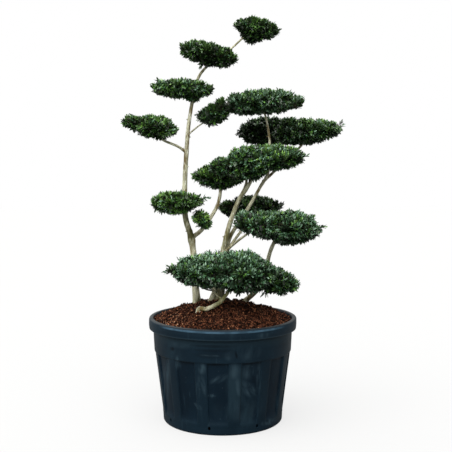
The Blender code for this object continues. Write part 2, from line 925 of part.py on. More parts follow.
def mass_pieces(mass, others, lines, rng):
    """The shapes that make up a mass: cores, stems, branching twigs and leaves."""
    cores = [core_shape(mass, others, lobe) for lobe in mass.lobes]
    pieces = []
    for start, end, radius in stem_of(mass):
        pieces.append(rod_shape(start, end, radius, radius * STEM_TAPER, STEM_SIDES))
    whole = sum(lobe.area() for other in MASSES for lobe in other.lobes)
    for lobe in mass.lobes:
        rest_of_mass = [other for other in mass.lobes if other is not lobe]
        for direction in even_directions(TWIGS_PER_LOBE, rng):
            pieces += twig_pieces(mass, others, lobe, direction, lines, rng)
        count = max(LEAF_LEAST, round(LEAF_TOTAL * lobe.area() / whole))
        for direction in even_directions(count, rng):
            leaf = fitted_leaf(mass, others, lobe, rest_of_mass, direction, lines, rng)
            if leaf:
                pieces.append(leaf)
    return cores, pieces


def twig_pieces(mass, others, lobe, direction, lines, rng):
    """A twig from the lobe's middle towards its rim, forking once; what would leave its space is skipped."""
    flat = np.array((direction[0], direction[1], 0.15 + 0.3 * direction[2]))
    flat /= np.linalg.norm(flat)
    fork = lobe.surface(flat[None, :], TWIG_FORK)[0]
    made = [rod_shape(lobe.centre, fork, TWIG_RADIUS / TWIG_TAPER, TWIG_RADIUS, TWIG_SIDES)]
    for side in (-1.0, 1.0):
        spread = rng.uniform(*TWIG_SPREAD) * side
        turned_way = np.array(
            (
                flat[0] * math.cos(spread) - flat[1] * math.sin(spread),
                flat[0] * math.sin(spread) + flat[1] * math.cos(spread),
                flat[2] + rng.uniform(*TWIG_LIFT),
            )
        )
        turned_way /= np.linalg.norm(turned_way)
        end = lobe.surface(turned_way[None, :], TWIG_REACH)[0]
        way = np.linspace(fork, end, 6)
        clear = limb_distance(way, lines).min() > LIMB_CLEAR + TWIG_RADIUS
        if clear and keeps_its_space(mass, others, way).all():
            made.append(rod_shape(fork, end, TWIG_RADIUS, TWIG_RADIUS * TWIG_TAPER, TWIG_SIDES))
    return made


def fitted_leaf(mass, others, lobe, rest_of_mass, direction, lines, rng):
    """A leaf whose root is sunk in the core and whose tip reaches the lobe's surface, or None."""
    for _ in range(LEAF_TRIES):
        tip = lobe.surface(direction[None, :], rng.uniform(*LEAF_TIP_SHARE))[0]
        outward = tip - np.array(lobe.centre)
        outward[2] *= LEAF_LIFT
        outward /= np.linalg.norm(outward)
        sway = np.array([rng.uniform(-1.0, 1.0) for _ in range(3)])
        way = outward + LEAF_SWAY * sway
        way /= np.linalg.norm(way)
        root = tip - way * LEAF_LENGTH
        across = np.cross(way, (rng.uniform(-1, 1), rng.uniform(-1, 1), 1.5))
        across *= LEAF_WIDTH / 2 / np.linalg.norm(across)
        middle = (root + tip) / 2
        corners = np.array((root, tip, middle - across, middle + across, (middle + tip) / 2))
        sunk = lobe.core().gauge(root[None, :])[0] < LEAF_SUNK
        hidden = any(other.gauge(tip[None, :])[0] < LEAF_HIDDEN for other in rest_of_mass)
        outside = (mass.gauge(corners) > SPACE_EDGE).any()
        blocked = limb_distance(corners, lines).min() < LIMB_CLEAR
        if sunk and not (hidden or outside or blocked) and keeps_its_space(mass, others, corners).all():
            return leaf_shape(root, tip, np.cross(across, way))
    return None


def build_mass(mass, number, leaf_parts, cutters):
    """One mass: its pieces joined by a union, then cut clear of the limbs that run through it."""
    rng = random.Random(SEED + number)
    lines = [limb_line(limb)[:2] for limb in LIMBS]
    others = near_masses(mass)
    cores, pieces = mass_pieces(mass, others, lines, rng)
    thing = add_mesh(mass.name, cores[0], leaf_parts)
    loose = new_collection(f"{mass.name} pieces")
    for count, shape in enumerate([*cores[1:], *pieces]):
        add_mesh(f"{mass.name} piece {count}", shape, loose)
    union = thing.modifiers.new("Join", "BOOLEAN")
    union.operation = "UNION"
    union.operand_type = "COLLECTION"
    union.collection = loose
    apply_modifiers(thing)
    for piece in list(loose.objects):
        bpy.data.objects.remove(piece)
    bpy.data.collections.remove(loose)
    for limb, (centres, _) in zip(LIMBS, lines):
        if limb.name == mass.grows_from or mass.gauge(centres).min() < 1.05:
            tunnel = add_cutter(f"{mass.name} {limb.name}", limb_shape(limb, TUNNEL_GAP), cutters)
            add_boolean(thing, "DIFFERENCE", tunnel, limb.name)
            apply_modifiers(thing)
    keep_main_shell(thing)
    finish_material(thing, LEAF)
    return thing


LIMB_BY_NAME = {limb.name: limb for limb in LIMBS}
MASS_BY_NAME = {mass.name: mass for mass in MASSES}


def main():
    """Build the tub, the soil, the limbs and the masses of foliage."""
    clear_scene()
    plant = new_collection("potted japanese holly")
    cutters = new_collection("cutters", hidden=True)
    build_tub(plant, cutters)
    build_soil(plant, cutters, [limb for limb in LIMBS if limb.flare])
    for limb in LIMBS:
        build_limb(limb, plant, cutters)
    for number, mass in enumerate(MASSES):
        build_mass(mass, number, plant, cutters)


main()
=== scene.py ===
"""The looks of a Japanese holly shaped as a garden bonsai, in a round nursery tub.

Bare pale stems carry clipped pads of small dark leaves. The plant, its compost and its tub are made here
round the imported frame, in metres, with the tub's flat underside at the origin and +Z up.
"""

import json
import logging
import math
from collections.abc import Callable
from dataclasses import dataclass, field
from enum import Enum

import bmesh
import bpy
import numpy as np
from mathutils import Matrix, Vector, noise

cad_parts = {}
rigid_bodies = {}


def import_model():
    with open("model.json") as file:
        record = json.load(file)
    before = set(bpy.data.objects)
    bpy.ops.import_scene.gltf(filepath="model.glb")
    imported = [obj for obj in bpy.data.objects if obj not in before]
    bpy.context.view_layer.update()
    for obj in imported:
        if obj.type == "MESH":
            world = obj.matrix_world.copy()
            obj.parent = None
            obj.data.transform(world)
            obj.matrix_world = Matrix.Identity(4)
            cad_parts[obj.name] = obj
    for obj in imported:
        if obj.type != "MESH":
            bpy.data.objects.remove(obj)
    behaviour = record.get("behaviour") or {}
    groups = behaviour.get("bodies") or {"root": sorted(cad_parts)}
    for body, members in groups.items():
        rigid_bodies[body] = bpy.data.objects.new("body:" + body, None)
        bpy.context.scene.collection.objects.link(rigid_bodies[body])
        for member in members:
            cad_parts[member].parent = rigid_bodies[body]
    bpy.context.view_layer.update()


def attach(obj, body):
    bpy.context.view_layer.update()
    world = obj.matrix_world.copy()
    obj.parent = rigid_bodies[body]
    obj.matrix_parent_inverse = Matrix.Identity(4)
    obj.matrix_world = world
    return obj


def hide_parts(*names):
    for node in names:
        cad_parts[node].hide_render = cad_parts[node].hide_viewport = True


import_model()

log = logging.getLogger("potted_holly")
BODY = "root"
SEED = 41
STEM_SEED = SEED + 100
FULL_TURN = 2.0 * math.pi
GOLDEN_TURN = math.pi * (3.0 - math.sqrt(5.0))

Colour = tuple[float, float, float]
Place = tuple[float, float, float]
Chain = tuple[np.ndarray, np.ndarray]
Socket = bpy.types.NodeSocket
Tree = bpy.types.NodeTree
Value = float | Socket

# The socket type for each kind of default value.
SOCKET_TYPES = {float: "Float", int: "Int", tuple: "Color"}

# How blunt the lens of a lobe is, and how far two masses keep apart by their gauges.
LENS_POWER = 0.68
SPACE_MARGIN = 0.055

# The step along a limb's line, how high its flare reaches, and how far its foot is cut below the ground.
LIMB_STEP = 0.0035
FLARE_HEIGHT = 0.022
FOOT_SUNK = 0.008

# The mound's reach, and its height at the edge and at the peak.
MOUND_REACH = 0.2690
MOUND_EDGE = 0.394
MOUND_PEAK = 0.4625

# Half the depth of every mark, from front to back.
MARK_DEPTH = 0.14


class Slot(Enum):
    """The record's material slots."""

    TUB = "tub"
    SOIL = "soil"
    BARK = "bark"
    FOLIAGE = "foliage"


class Tint(Enum):
    """The colours of the leaves, from old inner ones to this year's tips; the darkest are partly painted
    shade, BLUE and SILVER a painted bluish sheen.
    """

    DEEP, DARK, GREEN, BLUE, LIGHT, FRESH, SILVER = range(7)


class Nodes:
    """A node tree with short calls for adding nodes and joining them."""

    def __init__(self, tree: Tree) -> None:
        """Keep the tree."""
        self.tree = tree

    def add(self, kind: str, inputs: dict | None = None, **settings) -> bpy.types.Node:
        """Add a node.

        Args:
            kind: The node's type name.
            inputs: For each input, by name or number, a value, a colour or the output that feeds it.
            settings: The node's own properties.

        Returns:
            The new node.
        """
        node = self.tree.nodes.new(kind)
        for name, value in settings.items():
            setattr(node, name, value)
        for name, value in (inputs or {}).items():
            socket = node.inputs[name]
            if isinstance(value, Socket):
                self.tree.links.new(value, socket)
            else:
                opaque = socket.type == "RGBA" and len(value) == 3
                socket.default_value = (*value, 1.0) if opaque else value
        return node

    def output(self, kind: str, inputs: dict | None = None, name: str | int = 0, **settings) -> Socket:
        """Add a node as add does, and give one of its outputs by name or number."""
        return self.add(kind, inputs, **settings).outputs[name]

    def math(self, operation: str, *values: Value) -> Socket:
        """The result of a Math node."""
        return self.output("ShaderNodeMath", dict(enumerate(values)), operation=operation)

    def combine(self, *parts: Value) -> Socket:
        """A vector from its three parts."""
        return self.output("ShaderNodeCombineXYZ", dict(enumerate(parts)))

    def parts(self, vector: Socket) -> bpy.types.NodeOutputs:
        """A vector's three parts."""
        return self.add("ShaderNodeSeparateXYZ", {0: vector}).outputs

    def place(self) -> Socket:
        """The object's own coordinates."""
        return self.output("ShaderNodeTexCoord", name="Object")

    def noise(self, place: Socket, scale: Value, detail: Value) -> Socket:
        """Smooth noise at a place."""
        return self.output("ShaderNodeTexNoise", {"Vector": place, "Scale": scale, "Detail": detail})

    def spread(
        self,
        value: Socket,
        low: Value,
        high: Value,
        first: float = 0.0,
        last: float = 1.0,
        soft: bool = False,
    ) -> Socket:
        """A value's way from low to high, given as first to last, with soft ends if asked."""
        inputs = dict(enumerate((value, low, high, first, last)))
        ends = "SMOOTHSTEP" if soft else "LINEAR"
        return self.output("ShaderNodeMapRange", inputs, interpolation_type=ends)

    def stretched(self, place: Socket, stretch: Socket) -> Socket:
        """Coordinates for a pattern that is drawn out along Z."""
        upright = self.combine(1.0, 1.0, self.math("DIVIDE", 1.0, stretch))
        return self.output("ShaderNodeVectorMath", {0: place, 1: upright}, operation="MULTIPLY")

    def mix(self, share: Value, first: Colour | Socket, second: Colour | Socket) -> Socket:
        """Two colours mixed by a share."""
        return self.output("ShaderNodeMix", {0: share, 6: first, 7: second}, 2, data_type="RGBA")

    def close(self, **results: Socket) -> Tree:
        """Feed a group's outputs, by their names, and give the finished tree."""
        self.add("NodeGroupOutput", results)
        return self.tree


def new_group(name: str, kind: str, inputs: dict, outputs: dict[str, str]) -> tuple:
    """Start a node group with named sockets.

    Args:
        name: The group's name.
        kind: "Shader" or "Geometry".
        inputs: Each input's name, with its default value or, where it has none, its type.
        outputs: Each output's name, with its type.

    Returns:
        The group's Nodes and the sockets of its inputs.
    """
    tree = bpy.data.node_groups.new(name, f"{kind}NodeTree")
    for label, value in inputs.items():
        own = value if isinstance(value, str) else SOCKET_TYPES[type(value)]
        socket = tree.interface.new_socket(label, in_out="INPUT", socket_type=f"NodeSocket{own}")
        if own != value:
            socket.default_value = value
    for label, own in outputs.items():
        tree.interface.new_socket(label, in_out="OUTPUT", socket_type=f"NodeSocket{own}")
    nodes = Nodes(tree)
    return nodes, nodes.add("NodeGroupInput").outputs


def new_object(name: str, data: bpy.types.ID) -> bpy.types.Object:
    """A scene object at the origin that shows a mesh, a lamp or a camera."""
    thing = bpy.data.objects.new(name, data)
    bpy.context.scene.collection.objects.link(thing)
    return thing


def applied(seed: bpy.types.Object, name: str) -> bpy.types.Object:
    """A plain object with the result of another's modifiers; the other is removed."""
    graph = bpy.context.evaluated_depsgraph_get()
    mesh = bpy.data.meshes.new_from_object(seed.evaluated_get(graph))
    bpy.data.objects.remove(seed)
    return new_object(name, mesh)


def run_recipe(seed: bpy.types.Object, tree: Tree, values: dict, name: str) -> bpy.types.Object:
    """Run a geometry node tree on an object and keep the result as a plain mesh.

    Args:
        seed: The object that the tree starts from; it is removed.
        tree: The geometry node tree.
        values: The tree's inputs by name.
        name: The name of the new object.

    Returns:
        A new object at the origin, with no modifier.
    """
    modifier = seed.modifiers.new(tree.name, "NODES")
    modifier.node_group = tree
    own = {item.name: item.identifier for item in tree.interface.items_tree if item.in_out == "INPUT"}
    for label, value in values.items():
        modifier[own[label]] = value
    return applied(seed, name)


def discard(forms: bpy.types.Collection) -> None:
    """Remove a collection with its objects."""
    for thing in list(forms.objects):
        bpy.data.objects.remove(thing)
    bpy.data.collections.remove(forms)


def points_object(name: str, places: np.ndarray, facts: dict[str, np.ndarray]) -> bpy.types.Object:
    """An object that holds loose points with attributes, for a recipe to start from.

    Args:
        name: The object's name.
        places: One row for each point.
        facts: For each attribute's name, its values: numbers, whole numbers or vectors.

    Returns:
        The object.
    """
    mesh = bpy.data.meshes.new(name)
    mesh.vertices.add(len(places))
    mesh.vertices.foreach_set("co", places.astype(np.float32).ravel())
    for fact, values in facts.items():
        whole, vectors = values.dtype.kind == "i", values.ndim == 2
        kind = "FLOAT_VECTOR" if vectors else "INT" if whole else "FLOAT"
        flat = values.astype(np.int32 if whole else np.float32).ravel()
        mesh.attributes.new(fact, kind, "POINT").data.foreach_set("vector" if vectors else "value", flat)
    return new_object(name, mesh)


def paths_object(name: str, chains: list[Chain]) -> bpy.types.Object:
    """An object that holds paths as loose edges, with the thickness at each point."""
    places, radii = (np.concatenate(column) for column in zip(*chains))
    seed = points_object(name, places, {"thickness": radii})
    last = np.cumsum([len(points) for points, _ in chains]) - 1
    first = np.setdiff1d(np.arange(len(places)), last)
    seed.data.edges.add(len(first))
    pairs = np.column_stack((first, first + 1)).astype(np.int32)
    seed.data.edges.foreach_set("vertices", pairs.ravel())
    return seed


def mesh_of(shape: bmesh.types.BMesh, name: str) -> bpy.types.Mesh:
    """The mesh of a finished bmesh, which is freed."""
    mesh = bpy.data.meshes.new(name)
    shape.to_mesh(mesh)
    shape.free()
    return mesh


def smooth_mesh(name: str, places: list[Place], faces: list[tuple[int, ...]]) -> bpy.types.Mesh:
    """A smooth mesh of points and faces, with its faces outward."""
    mesh = bpy.data.meshes.new(name)
    mesh.from_pydata(places, [], faces)
    shape = bmesh.new()
    shape.from_mesh(mesh)
    bmesh.ops.recalc_face_normals(shape, faces=shape.faces)
    shape.to_mesh(mesh)
    shape.free()
    mesh.shade_smooth()
    return mesh


def round_faces(columns: int, rings: int, closed: bool = False) -> list[tuple[int, ...]]:
    """The faces of a round surface.

    Args:
        columns: The number of points in each ring.
        rings: The number of rings, which follow the first point.
        closed: Whether the last ring closes on a last point.

    Returns:
        Each face's points by number.
    """
    faces = []
    end = 1 + rings * columns
    for column in range(columns):
        after = (column + 1) % columns
        faces.append((0, 1 + column, 1 + after))
        for low in range(1, end - columns, columns):
            high = low + columns
            faces.append((low + column, high + column, high + after, low + after))
        if closed:
            faces.append((end - columns + column, end, end - columns + after))
    return faces


def unit(vectors: np.ndarray) -> np.ndarray:
    """Vectors scaled to length 1."""
    return vectors / np.maximum(np.linalg.norm(vectors, axis=-1, keepdims=True), 1e-9)


def square_to(aim: np.ndarray, ways: np.ndarray) -> np.ndarray:
    """Directions turned until each is square to its aim."""
    return unit(ways - (ways * aim).sum(axis=1, keepdims=True) * aim)


def soft_noise(places: np.ndarray, size: float, shift: float = 0.0) -> np.ndarray:
    """Smooth noise from -1 to 1 at each place, with lumps of about the given size."""
    offset = Vector((shift, shift, shift))
    return np.array([noise.noise(Vector(place) / size + offset) for place in places])


def lens_radius(directions: np.ndarray) -> np.ndarray:
    """Distance to the surface of a lens of unit reach, which thins to a blunt rim, along unit directions."""
    flat = np.hypot(directions[:, 0], directions[:, 1])
    upright = np.abs(directions[:, 2])
    low, high = np.zeros(len(flat)), np.full(len(flat), 1.5)
    for _ in range(22):
        middle = (low + high) / 2
        rim = np.maximum(0.0, 1.0 - (middle * flat) ** 2)
        inside = middle * upright < np.where(rim > 0.0, rim**LENS_POWER, -1.0) + 1e-12
        low, high = np.where(inside, middle, low), np.where(inside, high, middle)
    return low


@dataclass(frozen=True)
class Lobe:
    """A lens of foliage: centre at its rim, reach along X and Y, rise and drop, and tilt about Y."""

    centre: Place
    reach: float
    depth: float
    rise: float
    drop: float
    tilt: float = 0.0

    def scaled(self, points: np.ndarray) -> np.ndarray:
        """Points in the lobe's own frame, where the rim is at 1."""
        turn = math.radians(self.tilt)
        moved = np.atleast_2d(points) - np.array(self.centre)
        along = moved[:, 0] * math.cos(turn) - moved[:, 2] * math.sin(turn)
        above = moved[:, 0] * math.sin(turn) + moved[:, 2] * math.cos(turn)
        height = np.where(above >= 0.0, self.rise, self.drop)
        return np.column_stack((along / self.reach, moved[:, 1] / self.depth, above / height))

    def gauge(self, points: np.ndarray) -> np.ndarray:
        """How far out each point lies: 0 at the centre, 1 on the lobe's surface."""
        own = self.scaled(points)
        length = np.maximum(np.linalg.norm(own, axis=1), 1e-9)
        return length / lens_radius(own / length[:, None])

    def surface(self, directions: np.ndarray, share: np.ndarray | float = 1.0) -> np.ndarray:
        """Points at a share of the way to the lobe's surface, along scaled directions."""
        own = directions * (lens_radius(directions) * share)[:, None]
        height = np.where(own[:, 2] >= 0.0, self.rise, self.drop)
        return self.unscaled(own[:, 0] * self.reach, own[:, 1] * self.depth, own[:, 2] * height)

    def unscaled(self, along: np.ndarray, across: np.ndarray, above: np.ndarray) -> np.ndarray:
        """Points of the world from distances along the lobe's own axes."""
        turn = math.radians(self.tilt)
        x = along * math.cos(turn) + above * math.sin(turn)
        z = above * math.cos(turn) - along * math.sin(turn)
        return np.column_stack((x, across, z)) + np.array(self.centre)

    def outward(self, points: np.ndarray) -> np.ndarray:
        """The direction in which the lens faces at points near its surface."""
        own = self.scaled(points)
        flat = np.minimum(1.0, np.hypot(own[:, 0], own[:, 1]))
        slope = 2.0 * LENS_POWER * np.maximum(1.0 - flat**2, 0.04) ** (LENS_POWER - 1.0)
        sign = np.where(own[:, 2] >= 0.0, 1.0, -1.0)
        height = np.where(own[:, 2] >= 0.0, self.rise, self.drop)
        facing = (slope * own[:, 0] / self.reach, slope * own[:, 1] / self.depth, sign / height)
        turned = self.unscaled(*facing) - np.array(self.centre)
        return unit(turned)


@dataclass(frozen=True)
class Mass:
    """A pad of foliage.

    Its lobes, the trunk that it grows from where no bough enters it, how much of it is this year's
    growth, how much of it has a painted bluish sheen, how much painted shade darkens it on the whole,
    and how thin its leaves are below, round its bough.
    """

    name: str
    lobes: tuple[Lobe, ...]
    grows_from: str = ""
    fresh: float = 0.2
    # A painted bluish sheen on the leaves.
    bloom: float = 0.2
    # Painted shade that darkens the whole mass.
    shade: float = 0.0
    open_below: float = 0.0

    def gauge(self, points: np.ndarray) -> np.ndarray:
        """The least gauge of the mass's lobes at each point."""
        return np.min([lobe.gauge(points) for lobe in self.lobes], axis=0)


@dataclass(frozen=True)
class Limb:
    """A tapering stem or bough.

    Its path and radii, what it springs from, the mass that it enters, how much it flares at the ground
    and how much its parent swells where it leaves.
    """

    name: str
    path: tuple[Place, ...]
    foot: float
    tip: float
    springs_from: str = ""
    enters: str = ""
    flare: float = 0.0
    swell: float = 0.10


@dataclass(frozen=True)
class Sprig:
    """A stray twig at a mass's edge: its path, its thickness at the root and whether it bears leaves."""

    mass: str
    path: tuple[Place, ...]
    leafy: bool = True
    thickness: float = 0.0012


MASSES: tuple[Mass, ...] = (
    Mass("pad_top", fresh=0.25, bloom=0.08, shade=0.15, lobes=(
        Lobe((0.136, 0.03, 1.539), 0.097, 0.08, 0.043, 0.057, 10),
        Lobe((0.119, 0.03, 1.518), 0.064, 0.062, 0.03, 0.053, 4),
        Lobe((0.079, 0.03, 1.549), 0.042, 0.046, 0.032, 0.036, -8),
    )),
    Mass("pad_second", grows_from="trunk_left", fresh=0.265, bloom=0.1, shade=0.14, lobes=(
        Lobe((-0.085, -0.02, 1.438), 0.097, 0.082, 0.047, 0.05, 6),
        Lobe((-0.052, -0.015, 1.431), 0.066, 0.074, 0.05, 0.068, 12),
        Lobe((-0.014, -0.01, 1.417), 0.087, 0.076, 0.051, 0.046, 6),
    )),
    Mass("pad_third", grows_from="trunk_left", fresh=0.38, bloom=0.25, lobes=(
        Lobe((-0.154, 0.0, 1.297), 0.137, 0.096, 0.04, 0.045, 2.5),
        Lobe((-0.12, 0.0, 1.289), 0.066, 0.064, 0.03, 0.053, 0),
    )),
    Mass("pad_arch_left", fresh=0.2, bloom=0.15, shade=0.1, lobes=(
        Lobe((-0.031, -0.025, 1.2), 0.081, 0.066, 0.047, 0.053, -18),
        Lobe((0.004, -0.022, 1.226), 0.06, 0.064, 0.04, 0.036, -16),
    )),
    Mass("pad_arch", fresh=0.285, bloom=0.58, lobes=(
        Lobe((0.148, 0.0, 1.239), 0.181, 0.13, 0.059, 0.046, -3),
    )),
    Mass("pad_left", fresh=0.26, bloom=0.12, open_below=0.75, lobes=(
        Lobe((-0.262, -0.06, 1.145), 0.105, 0.09, 0.05, 0.056, 8),
        Lobe((-0.322, -0.06, 1.157), 0.078, 0.062, 0.034, 0.043, 10),
    )),
    Mass("pad_middle_left", grows_from="trunk_left", fresh=0.36, bloom=0.1, lobes=(
        Lobe((-0.185, 0.0, 0.858), 0.116, 0.09, 0.046, 0.06, -1),
    )),
    Mass("tuft", grows_from="bough_fork", fresh=0.5, bloom=0.1, lobes=(
        Lobe((-0.081, -0.005, 0.79), 0.057, 0.044, 0.038, 0.043, 42),
    )),
    Mass("pad_centre_left", fresh=0.4, bloom=0.05, shade=0.15, lobes=(
        Lobe((-0.016, 0.078, 0.958), 0.115, 0.09, 0.056, 0.062, 2),
    )),
    Mass("pad_centre", fresh=0.35, bloom=0.4, lobes=(
        Lobe((0.014, -0.025, 0.999), 0.08, 0.074, 0.041, 0.05, -4),
        Lobe((0.098, -0.03, 1.008), 0.108, 0.104, 0.078, 0.082, 0),
        Lobe((0.187, -0.025, 1.027), 0.151, 0.11, 0.058, 0.059, -2),
    )),
    Mass("pad_back_left", fresh=0.05, bloom=0.1, shade=0.5, lobes=(
        Lobe((0.192, 0.225, 1.142), 0.143, 0.11, 0.076, 0.073, 0),
    )),
    Mass("pad_back_right", fresh=0.25, bloom=0.3, shade=0.1, lobes=(
        Lobe((0.336, 0.11, 1.137), 0.155, 0.116, 0.058, 0.058, -5),
        Lobe((0.272, 0.11, 1.142), 0.07, 0.084, 0.062, 0.05, 0),
        Lobe((0.43, 0.11, 1.146), 0.061, 0.066, 0.038, 0.043, -4),
    )),
    Mass("pad_low_back", fresh=0.15, bloom=0.05, shade=0.35, lobes=(
        Lobe((0.125, 0.19, 0.832), 0.138, 0.11, 0.052, 0.05, 0),
        Lobe((0.027, 0.176, 0.827), 0.053, 0.06, 0.04, 0.042, 0),
    )),
    Mass("pad_low_right", fresh=0.135, bloom=0.66, lobes=(
        Lobe((0.214, -0.078, 0.764), 0.18, 0.125, 0.064, 0.061, 3.4),
        Lobe((0.238, -0.06, 0.714), 0.052, 0.05, 0.02, 0.03, 0),
        Lobe((0.258, -0.085, 0.758), 0.131, 0.12, 0.078, 0.072, 3),
        Lobe((0.088, -0.076, 0.795), 0.05, 0.06, 0.036, 0.04, 0),
    )),
    Mass("pad_front", fresh=0.175, bloom=0.8, lobes=(
        Lobe((-0.011, -0.12, 0.591), 0.215, 0.142, 0.084, 0.069, 2.3),
        Lobe((0.066, -0.125, 0.596), 0.146, 0.134, 0.088, 0.095, 3),
    )),
    Mass("pad_foot_right", fresh=0.2, bloom=0.62, shade=0.06, lobes=(
        Lobe((0.201, -0.02, 0.546), 0.11, 0.088, 0.063, 0.058, 12),
    )),
)


LIMBS: tuple[Limb, ...] = (
    Limb("trunk_left", foot=0.015, tip=0.0026, enters="pad_top", flare=0.007, path=(
        (-0.102, 0.05, 0.4), (-0.104, 0.05, 0.455), (-0.11, 0.049, 0.52), (-0.117, 0.046, 0.64),
        (-0.127, 0.04, 0.717), (-0.149, 0.032, 0.8), (-0.15, 0.025, 0.92), (-0.142, 0.015, 1.062),
        (-0.13, 0.006, 1.18), (-0.102, 0.004, 1.32), (-0.062, 0.006, 1.383), (0.029, 0.014, 1.451),
        (0.095, 0.028, 1.512), (0.137, 0.03, 1.541),
    )),
    Limb("trunk_centre", foot=0.0138, tip=0.0062, enters="pad_centre", flare=0.008, path=(
        (-0.046, 0.032, 0.4), (-0.041, 0.032, 0.455), (-0.023, 0.03, 0.524), (0.003, 0.03, 0.664),
        (0.026, 0.03, 0.762), (0.062, 0.03, 0.86), (0.093, 0.02, 0.906), (0.112, 0.0, 0.95),
        (0.1, -0.025, 1.0),
    )),
    Limb("trunk_right", foot=0.0104, tip=0.0036, enters="pad_arch", flare=0.006, path=(
        (-0.026, 0.006, 0.4), (-0.018, 0.01, 0.46), (-0.003, 0.016, 0.54), (0.011, 0.032, 0.632),
        (0.02, 0.046, 0.68), (0.035, 0.052, 0.727), (0.094, 0.042, 0.819), (0.146, 0.034, 0.91),
        (0.18, 0.03, 0.975), (0.186, 0.024, 1.072), (0.171, 0.012, 1.18), (0.145, 0.0, 1.236),
    )),
    Limb("stem_low_right", foot=0.0095, tip=0.0072, enters="pad_low_right", flare=0.005, path=(
        (0.052, 0.066, 0.4), (0.074, 0.064, 0.44), (0.142, 0.062, 0.504), (0.172, 0.056, 0.566),
        (0.184, 0.036, 0.64), (0.201, 0.0, 0.694), (0.226, -0.045, 0.745),
    )),
    Limb("bough_low_front", foot=0.0086, tip=0.0056, enters="pad_front", flare=0.002, path=(
        (-0.0925, -0.12, 0.412), (-0.093, -0.124, 0.44), (-0.088, -0.128, 0.4545), (-0.076, -0.131, 0.455),
        (-0.063, -0.134, 0.4535), (-0.0475, -0.138, 0.46), (-0.0249, -0.14, 0.4715), (-0.0098, -0.14, 0.481),
        (0.009, -0.138, 0.503), (0.0215, -0.136, 0.522), (0.046, -0.125, 0.585),
    )),
    Limb("bough_fork", foot=0.0088, tip=0.006, springs_from="trunk_left",
         enters="pad_centre_left", swell=0.3, path=(
        (-0.125, 0.041, 0.704), (-0.113, 0.044, 0.72), (-0.096, 0.0468, 0.7325), (-0.076, 0.0505, 0.7535),
        (-0.044, 0.056, 0.8), (-0.019, 0.062, 0.848), (-0.009, 0.068, 0.905), (-0.013, 0.075, 0.945),
    )),
    Limb("bough_left", foot=0.0058, tip=0.0036, springs_from="trunk_left", enters="pad_left", path=(
        (-0.1425, 0.0165, 1.05), (-0.176, 0.0, 1.073), (-0.228, -0.036, 1.094), (-0.27, -0.054, 1.118),
        (-0.282, -0.06, 1.145),
    )),
    Limb("bough_arch_left", foot=0.0032, tip=0.0026, springs_from="trunk_left", enters="pad_arch_left", path=(
        (-0.1375, 0.0105, 1.118), (-0.1, 0.0, 1.148), (-0.07, -0.012, 1.168), (-0.034, -0.024, 1.196),
    )),
    Limb("bough_centre_side", foot=0.006, tip=0.0042, springs_from="trunk_centre", enters="pad_centre", path=(
        (0.07, 0.028, 0.876), (0.088, 0.036, 0.914), (0.092, 0.04, 0.946), (0.06, 0.02, 0.978),
        (0.012, -0.018, 0.998),
    )),
    Limb("bough_right_thin", foot=0.0054, tip=0.0042, springs_from="trunk_centre",
         enters="pad_low_right", path=(
        (0.003, 0.03, 0.648), (0.022, 0.014, 0.67), (0.0615, -0.02, 0.706), (0.103, -0.06, 0.74),
        (0.134, -0.07, 0.768),
    )),
    Limb("bough_low_back", foot=0.006, tip=0.0044, springs_from="trunk_right", enters="pad_low_back", path=(
        (0.0135, 0.038, 0.652), (0.024, 0.048, 0.668), (0.045, 0.05, 0.7), (0.072, 0.06, 0.737),
        (0.1, 0.12, 0.78), (0.115, 0.188, 0.828),
    )),
    Limb("bough_back_left", foot=0.0052, tip=0.004, springs_from="trunk_right", enters="pad_back_left", path=(
        (0.184, 0.025, 1.04), (0.19, 0.07, 1.062), (0.193, 0.14, 1.088), (0.193, 0.222, 1.138),
    )),
    Limb("bough_back_right", foot=0.0062, tip=0.0042, springs_from="trunk_right",
         enters="pad_back_right", path=(
        (0.16, 0.0325, 0.936), (0.2, 0.046, 0.972), (0.262, 0.07, 1.03), (0.316, 0.096, 1.082),
        (0.34, 0.11, 1.134),
    )),
    Limb("bough_foot_right", foot=0.006, tip=0.0046, springs_from="stem_low_right",
         enters="pad_foot_right", path=(
        (0.1415, 0.062, 0.503), (0.166, 0.036, 0.51), (0.19, 0.0, 0.522), (0.202, -0.02, 0.545),
    )),
    Limb("bough_front_left", foot=0.004, tip=0.0038, springs_from="bough_low_front",
         enters="pad_front", path=(
        (-0.001, -0.1392, 0.4905), (-0.0173, -0.138, 0.5042), (-0.0286, -0.136, 0.5153),
        (-0.038, -0.133, 0.529), (-0.056, -0.126, 0.555), (-0.085, -0.12, 0.588),
    )),
)


